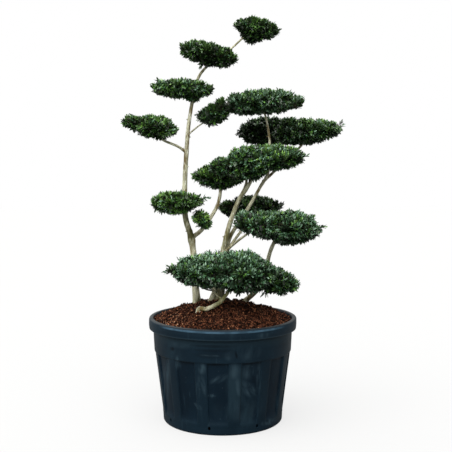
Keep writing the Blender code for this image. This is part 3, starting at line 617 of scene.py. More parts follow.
SPRIGS: tuple[Sprig, ...] = (
    Sprig("pad_middle_left", ((-0.13, 0.0, 0.868), (-0.092, -0.004, 0.864), (-0.052, -0.006, 0.873))),
    Sprig("pad_middle_left", ((-0.13, 0.004, 0.866), (-0.1, 0.004, 0.868), (-0.072, 0.0, 0.871))),
    Sprig("pad_middle_left", ((-0.22, 0.0, 0.852), (-0.245, -0.004, 0.838), (-0.262, -0.006, 0.822))),
    Sprig("pad_low_right", ((0.33, -0.08, 0.752), (0.362, -0.08, 0.754), (0.389, -0.08, 0.762))),
    Sprig("pad_back_right", ((0.44, 0.105, 1.145), (0.47, 0.108, 1.156), (0.481, 0.11, 1.178))),
    Sprig("pad_back_right", ((0.444, 0.11, 1.142), (0.47, 0.11, 1.15), (0.486, 0.11, 1.164))),
    Sprig("pad_low_back", ((0.205, 0.15, 0.822), (0.23, 0.15, 0.834), (0.247, 0.15, 0.845))),
    Sprig("pad_front", ((-0.18, -0.12, 0.596), (-0.2, -0.12, 0.592), (-0.216, -0.12, 0.591))),
    Sprig("pad_front", ((-0.176, -0.124, 0.598), (-0.194, -0.124, 0.604), (-0.205, -0.124, 0.613))),
    Sprig("pad_third", ((-0.234, 0.0, 1.306), (-0.254, 0.0, 1.312), (-0.27, 0.0, 1.316))),
    Sprig("pad_third", ((-0.226, 0.002, 1.31), (-0.242, 0.002, 1.32), (-0.255, 0.002, 1.332))),
    Sprig("pad_left", ((-0.34, -0.06, 1.164), (-0.362, -0.06, 1.166), (-0.378, -0.06, 1.168))),
    Sprig("pad_left", ((-0.322, -0.064, 1.166), (-0.34, -0.064, 1.178), (-0.35, -0.064, 1.187))),
    Sprig("pad_foot_right", ((0.18, -0.03, 0.522), (0.168, -0.034, 0.509), (0.158, -0.036, 0.495))),
    Sprig("pad_foot_right", ((0.186, -0.034, 0.522), (0.178, -0.04, 0.508), (0.17, -0.044, 0.494))),
    Sprig("pad_foot_right", ((0.172, -0.026, 0.528), (0.156, -0.03, 0.518), (0.142, -0.032, 0.508))),
    Sprig("pad_centre", ((0.29, -0.03, 1.026), (0.314, -0.03, 1.03), (0.327, -0.03, 1.036))),
    Sprig("pad_second", ((-0.072, -0.01, 1.41), (-0.078, -0.014, 1.395), (-0.086, -0.016, 1.38))),
    Sprig("pad_second", leafy=False, thickness=0.0024, path=(
        (-0.064, 0.0, 1.38), (-0.076, -0.022, 1.393), (-0.088, -0.045, 1.408),
    )),
    Sprig("pad_arch_left", ((-0.07, -0.03, 1.192), (-0.088, -0.034, 1.194), (-0.099, -0.036, 1.193))),
    Sprig("pad_low_right", leafy=False, thickness=0.0048, path=(
        (0.201, 0.004, 0.692), (0.216, -0.03, 0.698), (0.24, -0.055, 0.7), (0.27, -0.066, 0.706),
    )),
    Sprig("pad_front", leafy=False, thickness=0.0034, path=(
        (-0.038, -0.13, 0.524), (-0.0628, -0.126, 0.528), (-0.085, -0.122, 0.54), (-0.1197, -0.122, 0.543),
        (-0.1386, -0.122, 0.5485), (-0.1537, -0.122, 0.5545), (-0.1688, -0.12, 0.564),
        (-0.1839, -0.118, 0.576),
    )),
    Sprig("pad_front", leafy=False, thickness=0.0022, path=(
        (-0.012, -0.132, 0.49), (-0.024, -0.136, 0.508), (-0.044, -0.134, 0.528), (-0.048, -0.13, 0.55),
    )),
    Sprig("pad_front", leafy=False, thickness=0.0076, path=(
        (0.0, -0.139, 0.492), (0.001, -0.136, 0.508), (0.003, -0.133, 0.525), (0.007, -0.127, 0.556),
    )),
    Sprig("pad_left", leafy=False, thickness=0.0018, path=(
        (-0.25, -0.046, 1.106), (-0.238, -0.062, 1.118), (-0.226, -0.074, 1.138),
    )),
    Sprig("pad_left", leafy=False, thickness=0.0018, path=(
        (-0.262, -0.05, 1.113), (-0.286, -0.07, 1.12), (-0.308, -0.082, 1.138),
    )),
)


def smooth_path(path: tuple[Place, ...], step: float) -> np.ndarray:
    """Evenly spaced points on the smooth curve through a limb's own points.

    Args:
        path: The points that the curve passes through.
        step: About how far apart the points are.

    Returns:
        The points, one row each.
    """
    ends = [tuple(2 * a - b for a, b in zip(path[0], path[1]))]
    ends.append(tuple(2 * a - b for a, b in zip(path[-1], path[-2])))
    knots = np.array([ends[0], *path, ends[1]])
    share = np.arange(0.0, 1.0, 0.05)[:, None]
    fine = []
    for before, start, end, after in zip(knots, knots[1:], knots[2:], knots[3:]):
        turn = (2 * before - 5 * start + 4 * end - after) * share**2
        twist = (3 * start - before - 3 * end + after) * share**3
        fine.append(0.5 * (2 * start + (end - before) * share + turn + twist))
    fine = np.concatenate([*fine, knots[-2:-1]])
    lengths = np.concatenate(([0.0], np.cumsum(np.linalg.norm(np.diff(fine, axis=0), axis=1))))
    stops = np.linspace(0.0, lengths[-1], max(3, round(lengths[-1] / step)) + 1)
    return np.column_stack([np.interp(stops, lengths, fine[:, axis]) for axis in range(3)])


def soil_height(reach: np.ndarray | float) -> np.ndarray | float:
    """The height of the mound's smooth surface at a distance from the tub's axis."""
    share = np.minimum(1.0, reach / MOUND_REACH)
    return MOUND_EDGE + (MOUND_PEAK - MOUND_EDGE) * (1.0 - share * share)


def foot_level(limb: Limb) -> float:
    """Ground level for a stem: a little under the mound's surface at its foot."""
    points = smooth_path(limb.path, 0.004)
    ground = soil_height(np.hypot(points[:, 0], points[:, 1]))
    above = np.argmax(points[:, 2] > ground)
    return float(ground[above]) - FOOT_SUNK


@dataclass(frozen=True)
class LimbLine:
    """A limb's centre line at a fine step, from its foot to the end of its way inside its mass."""

    limb: Limb
    points: np.ndarray
    radii: np.ndarray

    @classmethod
    def of(cls, limb: Limb, step: float) -> "LimbLine":
        """The line of a limb: its radii run evenly from foot to tip, with a flare at the ground."""
        points = smooth_path(limb.path, step)
        radii = np.linspace(limb.foot, limb.tip, len(points))
        if limb.flare:
            level = foot_level(limb)
            radii = radii + limb.flare * np.exp(-np.maximum(0.0, points[:, 2] - level) / FLARE_HEIGHT)
            kept = points[:, 2] >= level
            points, radii = points[kept], radii[kept]
        return cls(limb, points, radii)

    def clearance(self, places: np.ndarray) -> np.ndarray:
        """The distance from each place to the limb's surface."""
        apart = np.linalg.norm(places[:, None, :] - self.points[None, ::2, :], axis=2) - self.radii[None, ::2]
        return apart.min(axis=1)


def bend(start: np.ndarray, middle: np.ndarray, end: np.ndarray, share: np.ndarray) -> np.ndarray:
    """Points on a curve from start to end that leans towards middle."""
    share = share[..., None]
    return (1 - share) ** 2 * start + 2 * (1 - share) * share * middle + share**2 * end


def even_directions(count: int, start: float) -> np.ndarray:
    """Directions spread evenly over a sphere, turned by a starting angle."""
    height = 1.0 - 2.0 * (np.arange(count) + 0.5) / count
    reach = np.sqrt(1.0 - height * height)
    angle = start + GOLDEN_TURN * np.arange(count)
    return np.column_stack((reach * np.cos(angle), reach * np.sin(angle), height))


def thinned(places: np.ndarray, spacing: np.ndarray, rng: np.random.Generator) -> np.ndarray:
    """Places in a random order, left out where they come too near one already kept.

    Args:
        places: One row for each place.
        spacing: The least distance for each place.
        rng: The random numbers to draw from.

    Returns:
        The numbers of the places that stay.
    """
    kept = []
    chosen = np.full((len(places), 3), 1e3)
    for number in rng.permutation(len(places)):
        gap = chosen[: len(kept)] - places[number]
        if not len(kept) or (gap * gap).sum(axis=1).min() > spacing[number] ** 2:
            chosen[len(kept)] = places[number]
            kept.append(number)
    return np.array(kept)


@dataclass(frozen=True)
class Growth:
    """How a mass is filled: the counts, spacing, lengths and angles of its twigs, shoots and leaves."""

    # The stems: how near a limb counts, by its gauge, and the short stem of a lobe that no limb reaches.
    limb_reach: float = 1.40
    stem_within: float = 0.85
    stem_entry: float = 0.55
    stem_kept: float = 0.80
    added_radius: float = 0.0040
    added_points: int = 9
    # The frame: main twigs from the stem to the rim, and side twigs along them.
    main_twigs: int = 10
    main_turn: tuple[float, float] = (-0.25, 0.25)
    main_lift: tuple[float, float] = (-0.15, 0.35)
    main_reach: tuple[float, float] = (0.76, 0.86)
    side_turn: tuple[float, float] = (0.25, 0.80)
    side_reach: tuple[float, float] = (0.66, 0.84)
    side_lift: tuple[float, float] = (-0.45, 0.60)
    twig_points: int = 11
    twig_crook: float = 0.0012
    side_starts: tuple[float, ...] = (0.30, 0.50, 0.70)
    main_thickness: float = 0.0034
    twig_taper: float = 0.55
    # The tips of the shoots on the lobes' surfaces.
    tip_reach: float = 0.97
    tip_hidden: float = 0.92
    tip_room: float = 0.004
    under_height: float = -0.25
    bare_reach: float = 0.045
    shoot_spacing: float = 0.0090
    tip_inset: float = 0.0135
    # The tufts in which the shoots stand, and how uneven the clipped surface is.
    tuft_spacing: float = 0.036
    tuft_depth: float = 0.040
    tuft_dip: float = 0.13
    tuft_pull: float = 0.16
    tuft_half: float = 0.70
    tuft_varies: float = 0.028
    pull_varies: float = 0.30
    tip_varies: tuple[float, float] = (-0.05, 0.045)
    depth_varies: tuple[float, float] = (0.80, 1.15)
    lean_varies: float = 0.22
    crown: float = 1.02
    lump_size: float = 0.055
    lump_height: float = 0.030
    lump_shift: float = 3.1
    shoot_thickness: float = 0.0009
    # The leaves round a shoot.
    leaves_on_shoot: int = 10
    leaf_gap: float = 0.0046
    leaf_length: float = 0.0212
    leaf_width: float = 0.0077
    # The tone of the leaves, by height (painted light from above), growth, painted sheen, painted shade and
    # chance, and where the tints change.
    level: float = 0.43
    level_rise: float = 0.12
    level_fresh: float = 0.50
    level_shade: float = 0.35
    tuft_tone: float = 0.06
    shoot_tone: float = 0.08
    leaf_tone: float = 0.09
    tip_tone: float = 0.09
    back_tone: float = 0.012
    tint_levels: tuple[float, ...] = (0.27, 0.41, 0.55, 0.72)
    bloom_level: float = 0.34
    silver_level: float = 0.55
    # How far leaves open from their shoot, and how far they may reach out of the mass.
    tip_opening: float = 0.32
    more_opening: float = 0.62
    opening_varies: float = 0.15
    space_edge: float = 1.16
    leaf_room: float = 0.001
    # The old leaves inside the mass.
    inner_share: float = 0.16
    inner_reach: float = 0.86
    inner_room: float = 0.010
    inner_end: float = 0.97


@dataclass
class LeafRows:
    """Leaves as rows: where each is rooted, its direction, which way it faces, its size, form and tint."""

    places: np.ndarray
    aim: np.ndarray
    face: np.ndarray
    size: np.ndarray
    form: np.ndarray
    tint: np.ndarray

    def joined(self, other: "LeafRows") -> "LeafRows":
        """These leaves and others together."""
        return LeafRows(*(np.concatenate(pair) for pair in zip(vars(self).values(), vars(other).values())))


class Pad:
    """One mass of foliage, grown from its stem to its surface by a seeded rule."""

    def __init__(self, mass: Mass, number: int, growth: Growth, lines: dict[str, LimbLine]) -> None:
        """Keep the mass, its neighbours and the limbs that pass it.

        Args:
            mass: The mass to fill.
            number: Its number, which sets its random draws.
            growth: The rule's sizes.
            lines: Every limb's line by name.
        """
        self.mass = mass
        self.growth = growth
        self.lines = lines
        self.rng = np.random.default_rng(SEED + number)
        self.others = [other for other in MASSES if other is not mass and self._meets(other)]
        self.limbs = [line for line in lines.values() if mass.gauge(line.points).min() < growth.limb_reach]
        self.twigs: list[Chain] = []
        self.frame_nodes = np.empty((0, 3))
        self.leaf_count = 0

    def _meets(self, other: Mass) -> bool:
        """Whether another mass may come into this one's space."""
        for mine in self.mass.lobes:
            for theirs in other.lobes:
                apart = np.linalg.norm(np.subtract(mine.centre, theirs.centre))
                if apart < mine.reach + theirs.reach:
                    return True
        return False

    def keeps_its_space(self, points: np.ndarray) -> np.ndarray:
        """True for each point that is nearer this mass than any other, by their gauges."""
        own = self.mass.gauge(points)
        kept = np.ones(len(points), bool)
        for other in self.others:
            kept &= own + SPACE_MARGIN < other.gauge(points)
        return kept

    def clear_of_limbs(self, points: np.ndarray, room: float) -> np.ndarray:
        """True for each point with room between it and every limb."""
        clear = np.ones(len(points), bool)
        for line in self.limbs:
            clear &= line.clearance(points) > room
        return clear

    def stems(self) -> list[tuple[np.ndarray, float]]:
        """The stem inside each lobe: points to branch from, and the thickness there.

        Where no limb passes through a lobe, a short stem is added from the nearest limb or stem.
        """
        growth = self.growth
        inside = []
        for line in self.lines.values():
            if line.limb.enters == self.mass.name or line.limb.name == self.mass.grows_from:
                within = self.mass.gauge(line.points) < growth.stem_within
                inside.append((line.points[within], line.radii[within], line))
        found = []
        for lobe in self.mass.lobes:
            best = None
            for points, radii, _ in inside:
                if len(points) and lobe.gauge(points).min() < growth.stem_entry:
                    near = lobe.gauge(points) < growth.stem_kept
                    best = (points[near], float(radii[near].mean()))
            found.append(best)
        for number, lobe in enumerate(self.mass.lobes):
            if found[number] is None:
                found[number] = self._added_stem(lobe, inside, found)
        return found

    def _added_stem(self, lobe: Lobe, inside: list, found: list) -> tuple[np.ndarray, float]:
        """A stem to a lobe that no limb reaches, from the nearest limb or stem."""
        choices = [entry for entry in found if entry is not None]
        for points, radii, line in inside:
            near = line if not len(points) else LimbLine(line.limb, points, radii)
            choices.append((near.points, float(near.radii.mean())))
        centre = np.array(lobe.centre)
        roots = [points[np.argmin(np.linalg.norm(points - centre, axis=1))] for points, _ in choices]
        nearest = int(np.argmin([np.linalg.norm(root - centre) for root in roots]))
        root, radius = roots[nearest], min(self.growth.added_radius, 0.7 * choices[nearest][1])
        middle = (root + centre) / 2 + np.array((0.0, 0.0, -0.004))
        count = self.growth.added_points
        points = bend(root, middle, centre, np.linspace(0.0, 1.0, count))
        self.twigs.append((points, np.linspace(radius, 0.8 * radius, count)))
        return points[count // 2 :], radius

    def grow_frame(self) -> None:
        """Main twigs from each lobe's stem out to its rim, and side twigs along them."""
        growth, rng = self.growth, self.rng
        nodes = []
        for lobe, (stem, thickness) in zip(self.mass.lobes, self.stems()):
            start = rng.uniform(0.0, FULL_TURN)
            first = min(growth.main_thickness, 0.75 * thickness)
            for number in range(growth.main_twigs):
                angle = start + FULL_TURN * number / growth.main_twigs + rng.uniform(*growth.main_turn)
                root = stem[rng.integers(len(stem))]
                lift = rng.uniform(*growth.main_lift)
                main = self._twig(lobe, root, angle, lift, rng.uniform(*growth.main_reach), first)
                nodes.append(main)
                for share in growth.side_starts:
                    for side in (-1.0, 1.0):
                        spread = side * rng.uniform(*growth.side_turn) * (1.1 - 0.4 * share)
                        origin = main[min(len(main) - 1, int(share * 10))]
                        reach = rng.uniform(*growth.side_reach)
                        lift = rng.uniform(*growth.side_lift)
                        thin = first * (1.0 - growth.twig_taper * share) * 0.6
                        nodes.append(self._twig(lobe, origin, angle + spread, lift, reach, thin))
        self.frame_nodes = np.concatenate(nodes)

    def _twig(
        self, lobe: Lobe, root: np.ndarray, angle: float, lift: float, reach: float, thickness: float
    ) -> np.ndarray:
        """A curved twig from a root towards the rim, cut short where it would leave its space."""
        way = unit(np.array((math.cos(angle), math.sin(angle), lift)))
        end = lobe.surface(way[None, :], reach)[0]
        middle = root + 0.5 * (end - root)
        middle[2] = root[2] + 0.8 * (end[2] - root[2]) + 0.05 * np.linalg.norm(end - root)
        total = self.growth.twig_points
        points = bend(root, middle, end, np.linspace(0.0, 1.0, total))
        crook = self.rng.normal(0.0, self.growth.twig_crook, (total, 3))
        crook[0] = 0.0
        points = points + crook
        kept = self.keeps_its_space(points)
        count = len(points) if kept.all() else max(3, int(np.argmin(kept)))
        radii = np.linspace(thickness, thickness * (1.0 - self.growth.twig_taper), total)
        self.twigs.append((points[:count:2], radii[:count:2]))
        return points[:count]

    def tips(self) -> tuple[np.ndarray, np.ndarray, np.ndarray, np.ndarray]:
        """The tips of the shoots, evenly spread over the mass.

        Returns:
            Their places, the way the surface faces there, their scaled heights and their lobes' numbers.
        """
        growth, mass = self.growth, self.mass
        rows = []
        for number, lobe in enumerate(mass.lobes):
            area = 2.6 * lobe.reach * lobe.depth * math.pi
            count = int(5.0 * area / growth.shoot_spacing**2)
            directions = even_directions(count, self.rng.uniform(0.0, FULL_TURN))
            places = lobe.surface(directions, growth.tip_reach)
            seen = self.keeps_its_space(places) & self.clear_of_limbs(places, growth.tip_room)
            for other in mass.lobes:
                if other is not lobe:
                    seen &= other.gauge(places) > growth.tip_hidden
            places = places[seen]
            own = lobe.scaled(places)[:, 2]
            rows.append((places, lobe.outward(places), own, np.full(len(places), number)))
        places, facing, height, lobes = (np.concatenate(column) for column in zip(*rows))
        if mass.open_below:
            near = np.zeros(len(places), bool)
            for line in self.limbs:
                near |= line.clearance(places) < growth.bare_reach
            under = near & (height < growth.under_height)
            left_out = under & (self.rng.random(len(places)) < mass.open_below)
            places, facing, height, lobes = (column[~left_out] for column in (places, facing, height, lobes))
        bare = np.clip(growth.under_height - height, 0.0, 1.0)
        kept = thinned(places, growth.shoot_spacing * (1.0 + 0.35 * bare), self.rng)
        return places[kept], facing[kept], height[kept], lobes[kept]

    def grow_shoots(self) -> LeafRows:
        """Tufts of leafy shoots that fan out from short twigs, up to the mass's surface.

        Returns:
            The leaves on them.
        """
        growth, rng, mass = self.growth, self.rng, self.mass
        places, facing, height, lobe_numbers = self.tips()
        centres = thinned(places, np.full(len(places), growth.tuft_spacing), rng)
        apart = np.linalg.norm(places[:, None, :] - places[None, centres, :], axis=2)
        tuft = apart.argmin(axis=1)
        away = apart.min(axis=1) / growth.tuft_spacing
        offset = rng.normal(0.0, growth.tuft_varies, len(centres))
        lumps = soft_noise(places, growth.lump_size, growth.lump_shift)
        share = growth.crown - growth.tuft_dip * (away / growth.tuft_half) ** 2
        share = share + offset[tuft] + growth.lump_height * lumps
        share += rng.uniform(*growth.tip_varies, len(places))
        middles = np.array([lobe.centre for lobe in mass.lobes])[lobe_numbers]
        reach = np.linalg.norm(places - middles, axis=1)
        share -= growth.tip_inset / reach
        tips = middles + (places - middles) * share[:, None]
        pull = growth.tuft_pull * (places[centres][tuft] - places)
        tips += pull * (1.0 + rng.normal(0.0, growth.pull_varies, (len(places), 1)))

        inward = facing[centres].copy()
        inward[:, 2] = np.where(inward[:, 2] < 0.0, 0.45 * inward[:, 2], inward[:, 2])
        depth = growth.tuft_depth * rng.uniform(*growth.depth_varies, (len(centres), 1))
        bases = places[centres] - unit(inward) * depth
        self._tuft_twigs(bases, unit(inward))

        roots = bases[tuft]
        lean = facing.copy()
        lean[:, 2] = np.where(lean[:, 2] < 0.0, 0.4 * lean[:, 2], lean[:, 2]) + 0.35
        lean = unit(unit(lean) + 0.9 * unit(tips - roots) + rng.normal(0.0, growth.lean_varies, tips.shape))
        lengths = np.linalg.norm(tips - roots, axis=1)
        bends = tips - lean * (0.5 * lengths)[:, None]
        free = np.zeros(len(tips), bool)
        for sprig in (own for own in SPRIGS if own.mass == mass.name):
            path = np.array(sprig.path)
            self._sprig_twig(sprig, path)
            if sprig.leafy:
                roots, bends, tips = (np.vstack(pair) for pair in zip((roots, bends, tips), path))
                tuft, height = np.append(tuft, tuft.max() + 1), np.append(height, 0.3)
                free = np.append(free, True)
        self._shoot_twigs(roots, bends, tips)
        return self.leaf_rows(roots, bends, tips, tuft, height, free)

    def _sprig_twig(self, sprig: Sprig, path: np.ndarray) -> None:
        """A sprig's own twig, or the twig that carries a leafy one."""
        if sprig.leafy:
            root = self.frame_nodes[np.linalg.norm(self.frame_nodes - path[0], axis=1).argmin()]
            points = bend(root, (root + path[0]) / 2, path[0], np.linspace(0.0, 1.0, 3))
        else:
            points = smooth_path(sprig.path, 0.008)
        self.twigs.append((points, np.linspace(1.0, 0.6, len(points)) * sprig.thickness))

    def inner_rows(self) -> LeafRows:
        """Dark old leaves on the twigs inside the mass, which close it to the eye; their darkness is partly
        painted shade.

        Returns:
            The leaves.
        """
        growth, rng = self.growth, self.rng
        joined = np.concatenate([np.linspace(points[0], points[-1], 12) for points, _ in self.twigs])
        inside = (self.mass.gauge(joined) < growth.inner_reach) & self.keeps_its_space(joined)
        joined = joined[inside & self.clear_of_limbs(joined, growth.inner_room)]
        count = min(len(joined), int(growth.inner_share * self.leaf_count))
        places = joined[rng.choice(len(joined), count, replace=False)] + rng.normal(0.0, 0.0015, (count, 3))
        aim = unit(rng.normal(0.0, 1.0, (count, 3)))
        face = rng.normal(0.0, 0.5, (count, 3)) + np.array((0.0, 0.0, 1.0))
        face = square_to(aim, face)
        length = growth.leaf_length * rng.uniform(1.0, 1.35, count)
        size = np.column_stack((length, length * 0.50, length))
        kept = self.mass.gauge(places + aim * length[:, None]) < growth.inner_end
        form = rng.integers(0, len(LEAF_FORMS), count)
        # Painted shade: the inner leaves take the darkest tints.
        tint = np.where(rng.random(count) < 0.7, Tint.DEEP.value, Tint.DARK.value)
        return LeafRows(*(column[kept] for column in (places, aim, face, size, form, tint)))

    def _tuft_twigs(self, bases: np.ndarray, ways: np.ndarray) -> None:
        """Twigs from the frame to the base of each tuft."""
        growth = self.growth
        for base, way in zip(bases, ways):
            apart = np.linalg.norm(self.frame_nodes - base, axis=1)
            root = self.frame_nodes[apart.argmin()]
            middle = base - way * 0.5 * apart.min()
            points = bend(root, middle, base, np.linspace(0.0, 1.0, 4))
            self.twigs.append((points, np.linspace(1.5, 1.1, 4) * growth.shoot_thickness))

    def _shoot_twigs(self, roots: np.ndarray, bends: np.ndarray, tips: np.ndarray) -> None:
        """The stem of each shoot."""
        share = np.linspace(0.0, 1.0, 3)
        radii = np.linspace(1.0, 0.45, 3) * self.growth.shoot_thickness
        for root, middle, tip in zip(roots, bends, tips):
            self.twigs.append((bend(root, middle, tip, share), radii))

    def leaf_rows(
        self,
        roots: np.ndarray,
        bends: np.ndarray,
        tips: np.ndarray,
        tuft: np.ndarray,
        height: np.ndarray,
        free: np.ndarray,
    ) -> LeafRows:
        """Leaves round each shoot, closer to its line near the tip and wider out further back.

        Args:
            roots: Where each shoot starts.
            bends: The point that each shoot's curve leans towards.
            tips: Where each shoot ends.
            tuft: The number of each shoot's tuft.
            height: Each tip's scaled height in its lobe.
            free: True for the stray sprigs, which may reach out of the mass.

        Returns:
            The leaves that keep the mass's space.
        """
        growth, rng, mass = self.growth, self.rng, self.mass
        count, shoots = growth.leaves_on_shoot, len(tips)
        number = np.tile(np.arange(count), (shoots, 1))
        back = 0.001 + growth.leaf_gap * number * rng.uniform(0.85, 1.15, (shoots, count))
        lengths = np.linalg.norm(tips - roots, axis=1)[:, None]
        along = 1.0 - back / lengths
        there = (along > 0.05) & (rng.random((shoots, count)) > 0.05)
        # Painted light: leaves are lighter towards the top of the lobe, more so with the painted sheen;
        # painted shade darkens the whole mass.
        level = growth.level + (growth.level_rise + 0.10 * mass.bloom) * height
        level = level + growth.level_fresh * (mass.fresh - 0.3) - growth.level_shade * mass.shade
        level = level + rng.normal(0.0, growth.tuft_tone, tuft.max() + 1)[tuft]
        level = level + rng.normal(0.0, growth.shoot_tone, shoots)
        levels = level[:, None] + growth.tip_tone * (1.0 - number / 3.0).clip(-1.0, 1.0)
        levels = levels - growth.back_tone * number + rng.normal(0.0, growth.leaf_tone, number.shape)
        # Shoots that carry the painted bluish sheen.
        with_sheen = np.repeat(rng.random(shoots) < mass.bloom, count).reshape(shoots, count)
        turn = rng.uniform(0.0, FULL_TURN, (shoots, 1)) + GOLDEN_TURN * number
        turn = turn + rng.normal(0, 0.25, number.shape)
        open_angle = growth.tip_opening + growth.more_opening * number / count
        open_angle = open_angle + rng.normal(0.0, growth.opening_varies, number.shape)

        shoot, leaf = np.nonzero(there)
        share = along[shoot, leaf]
        start, middle, end = roots[shoot], bends[shoot], tips[shoot]
        places = bend(start, middle, end, share)
        tangent = unit(2 * (1 - share)[:, None] * (middle - start) + 2 * share[:, None] * (end - middle))
        side = unit(np.cross(tangent, (0.31, 0.17, 1.0)))
        other = np.cross(tangent, side)
        angle, opening = turn[shoot, leaf][:, None], open_angle[shoot, leaf][:, None]
        outward = np.cos(angle) * side + np.sin(angle) * other
        aim = unit(np.cos(opening) * tangent + np.sin(opening) * outward)
        face = tangent + np.array((0.0, 0.0, 0.45)) + rng.normal(0.0, 0.26, aim.shape)
        face = square_to(aim, face)
        young = 0.70 + 0.30 * np.minimum(1.0, number[shoot, leaf] / 3.0)
        length = growth.leaf_length * young * rng.normal(1.0, 0.13, len(places)).clip(0.6, 1.4)
        width = length * growth.leaf_width / growth.leaf_length * rng.normal(1.0, 0.10, len(places))
        size = np.column_stack((length, width, length))

        ends = places + aim * length[:, None]
        kept = free[shoot] | ((mass.gauge(ends) < growth.space_edge) & self.keeps_its_space(ends))
        kept &= self.clear_of_limbs((places + ends) / 2, growth.leaf_room)
        self.leaf_count = int(kept.sum())
        tint = self._tints(levels[shoot, leaf], with_sheen[shoot, leaf])
        form = rng.integers(0, len(LEAF_FORMS), len(places))
        return LeafRows(*(column[kept] for column in (places, aim, face, size, form, tint)))

    def _tints(self, levels: np.ndarray, with_sheen: np.ndarray) -> np.ndarray:
        """Each leaf's tint from its level of light and age, and whether it has the painted bluish sheen."""
        order = np.array([tint.value for tint in (Tint.DEEP, Tint.DARK, Tint.GREEN, Tint.LIGHT, Tint.FRESH)])
        tints = order[np.searchsorted(self.growth.tint_levels, levels)]
        pale = levels >= self.growth.silver_level
        middling = with_sheen & (levels > self.growth.bloom_level) & ~pale
        return np.select((middling, with_sheen & pale), (Tint.BLUE.value, Tint.SILVER.value), tints)


@dataclass(frozen=True)
class LeafForm:
    """The outline of one leaf of unit length: half widths along it, its sides' fold and its tip's droop."""

    stations: tuple[float, ...] = (0.20, 0.52, 0.83)
    halves: tuple[float, ...] = (0.34, 0.50, 0.33)
    fold: float = 0.12
    droop: float = 0.10

    def mesh(self, name: str) -> bpy.types.Mesh:
        """The leaf as ten triangles: a midrib with a blade on each side."""
        shape = bmesh.new()
        ribs = [(0.0, 0.0), (0.36, 0.03), (0.68, 0.03 - 0.25 * self.droop), (1.0, -self.droop)]
        rib = [shape.verts.new((x, 0.0, z)) for x, z in ribs]
        for side in (-1.0, 1.0):
            edge = []
            for station, half in zip(self.stations, self.halves):
                height = self.fold * half - self.droop * station**3
                edge.append(shape.verts.new((station, side * half, height)))
            fans = [
                (rib[0], rib[1], edge[0]),
                (rib[1], edge[1], edge[0]),
                (rib[1], rib[2], edge[1]),
                (rib[2], edge[2], edge[1]),
                (rib[2], rib[3], edge[2]),
            ]
            for corners in fans:
                shape.faces.new(corners if side > 0.0 else corners[::-1])
        for face in shape.faces:
            face.smooth = True
        return mesh_of(shape, name)


LEAF_FORMS = (
    LeafForm(),
    LeafForm(halves=(0.30, 0.50, 0.38), fold=0.26, droop=0.05),
    LeafForm(halves=(0.38, 0.49, 0.28), fold=-0.08, droop=0.20),
)


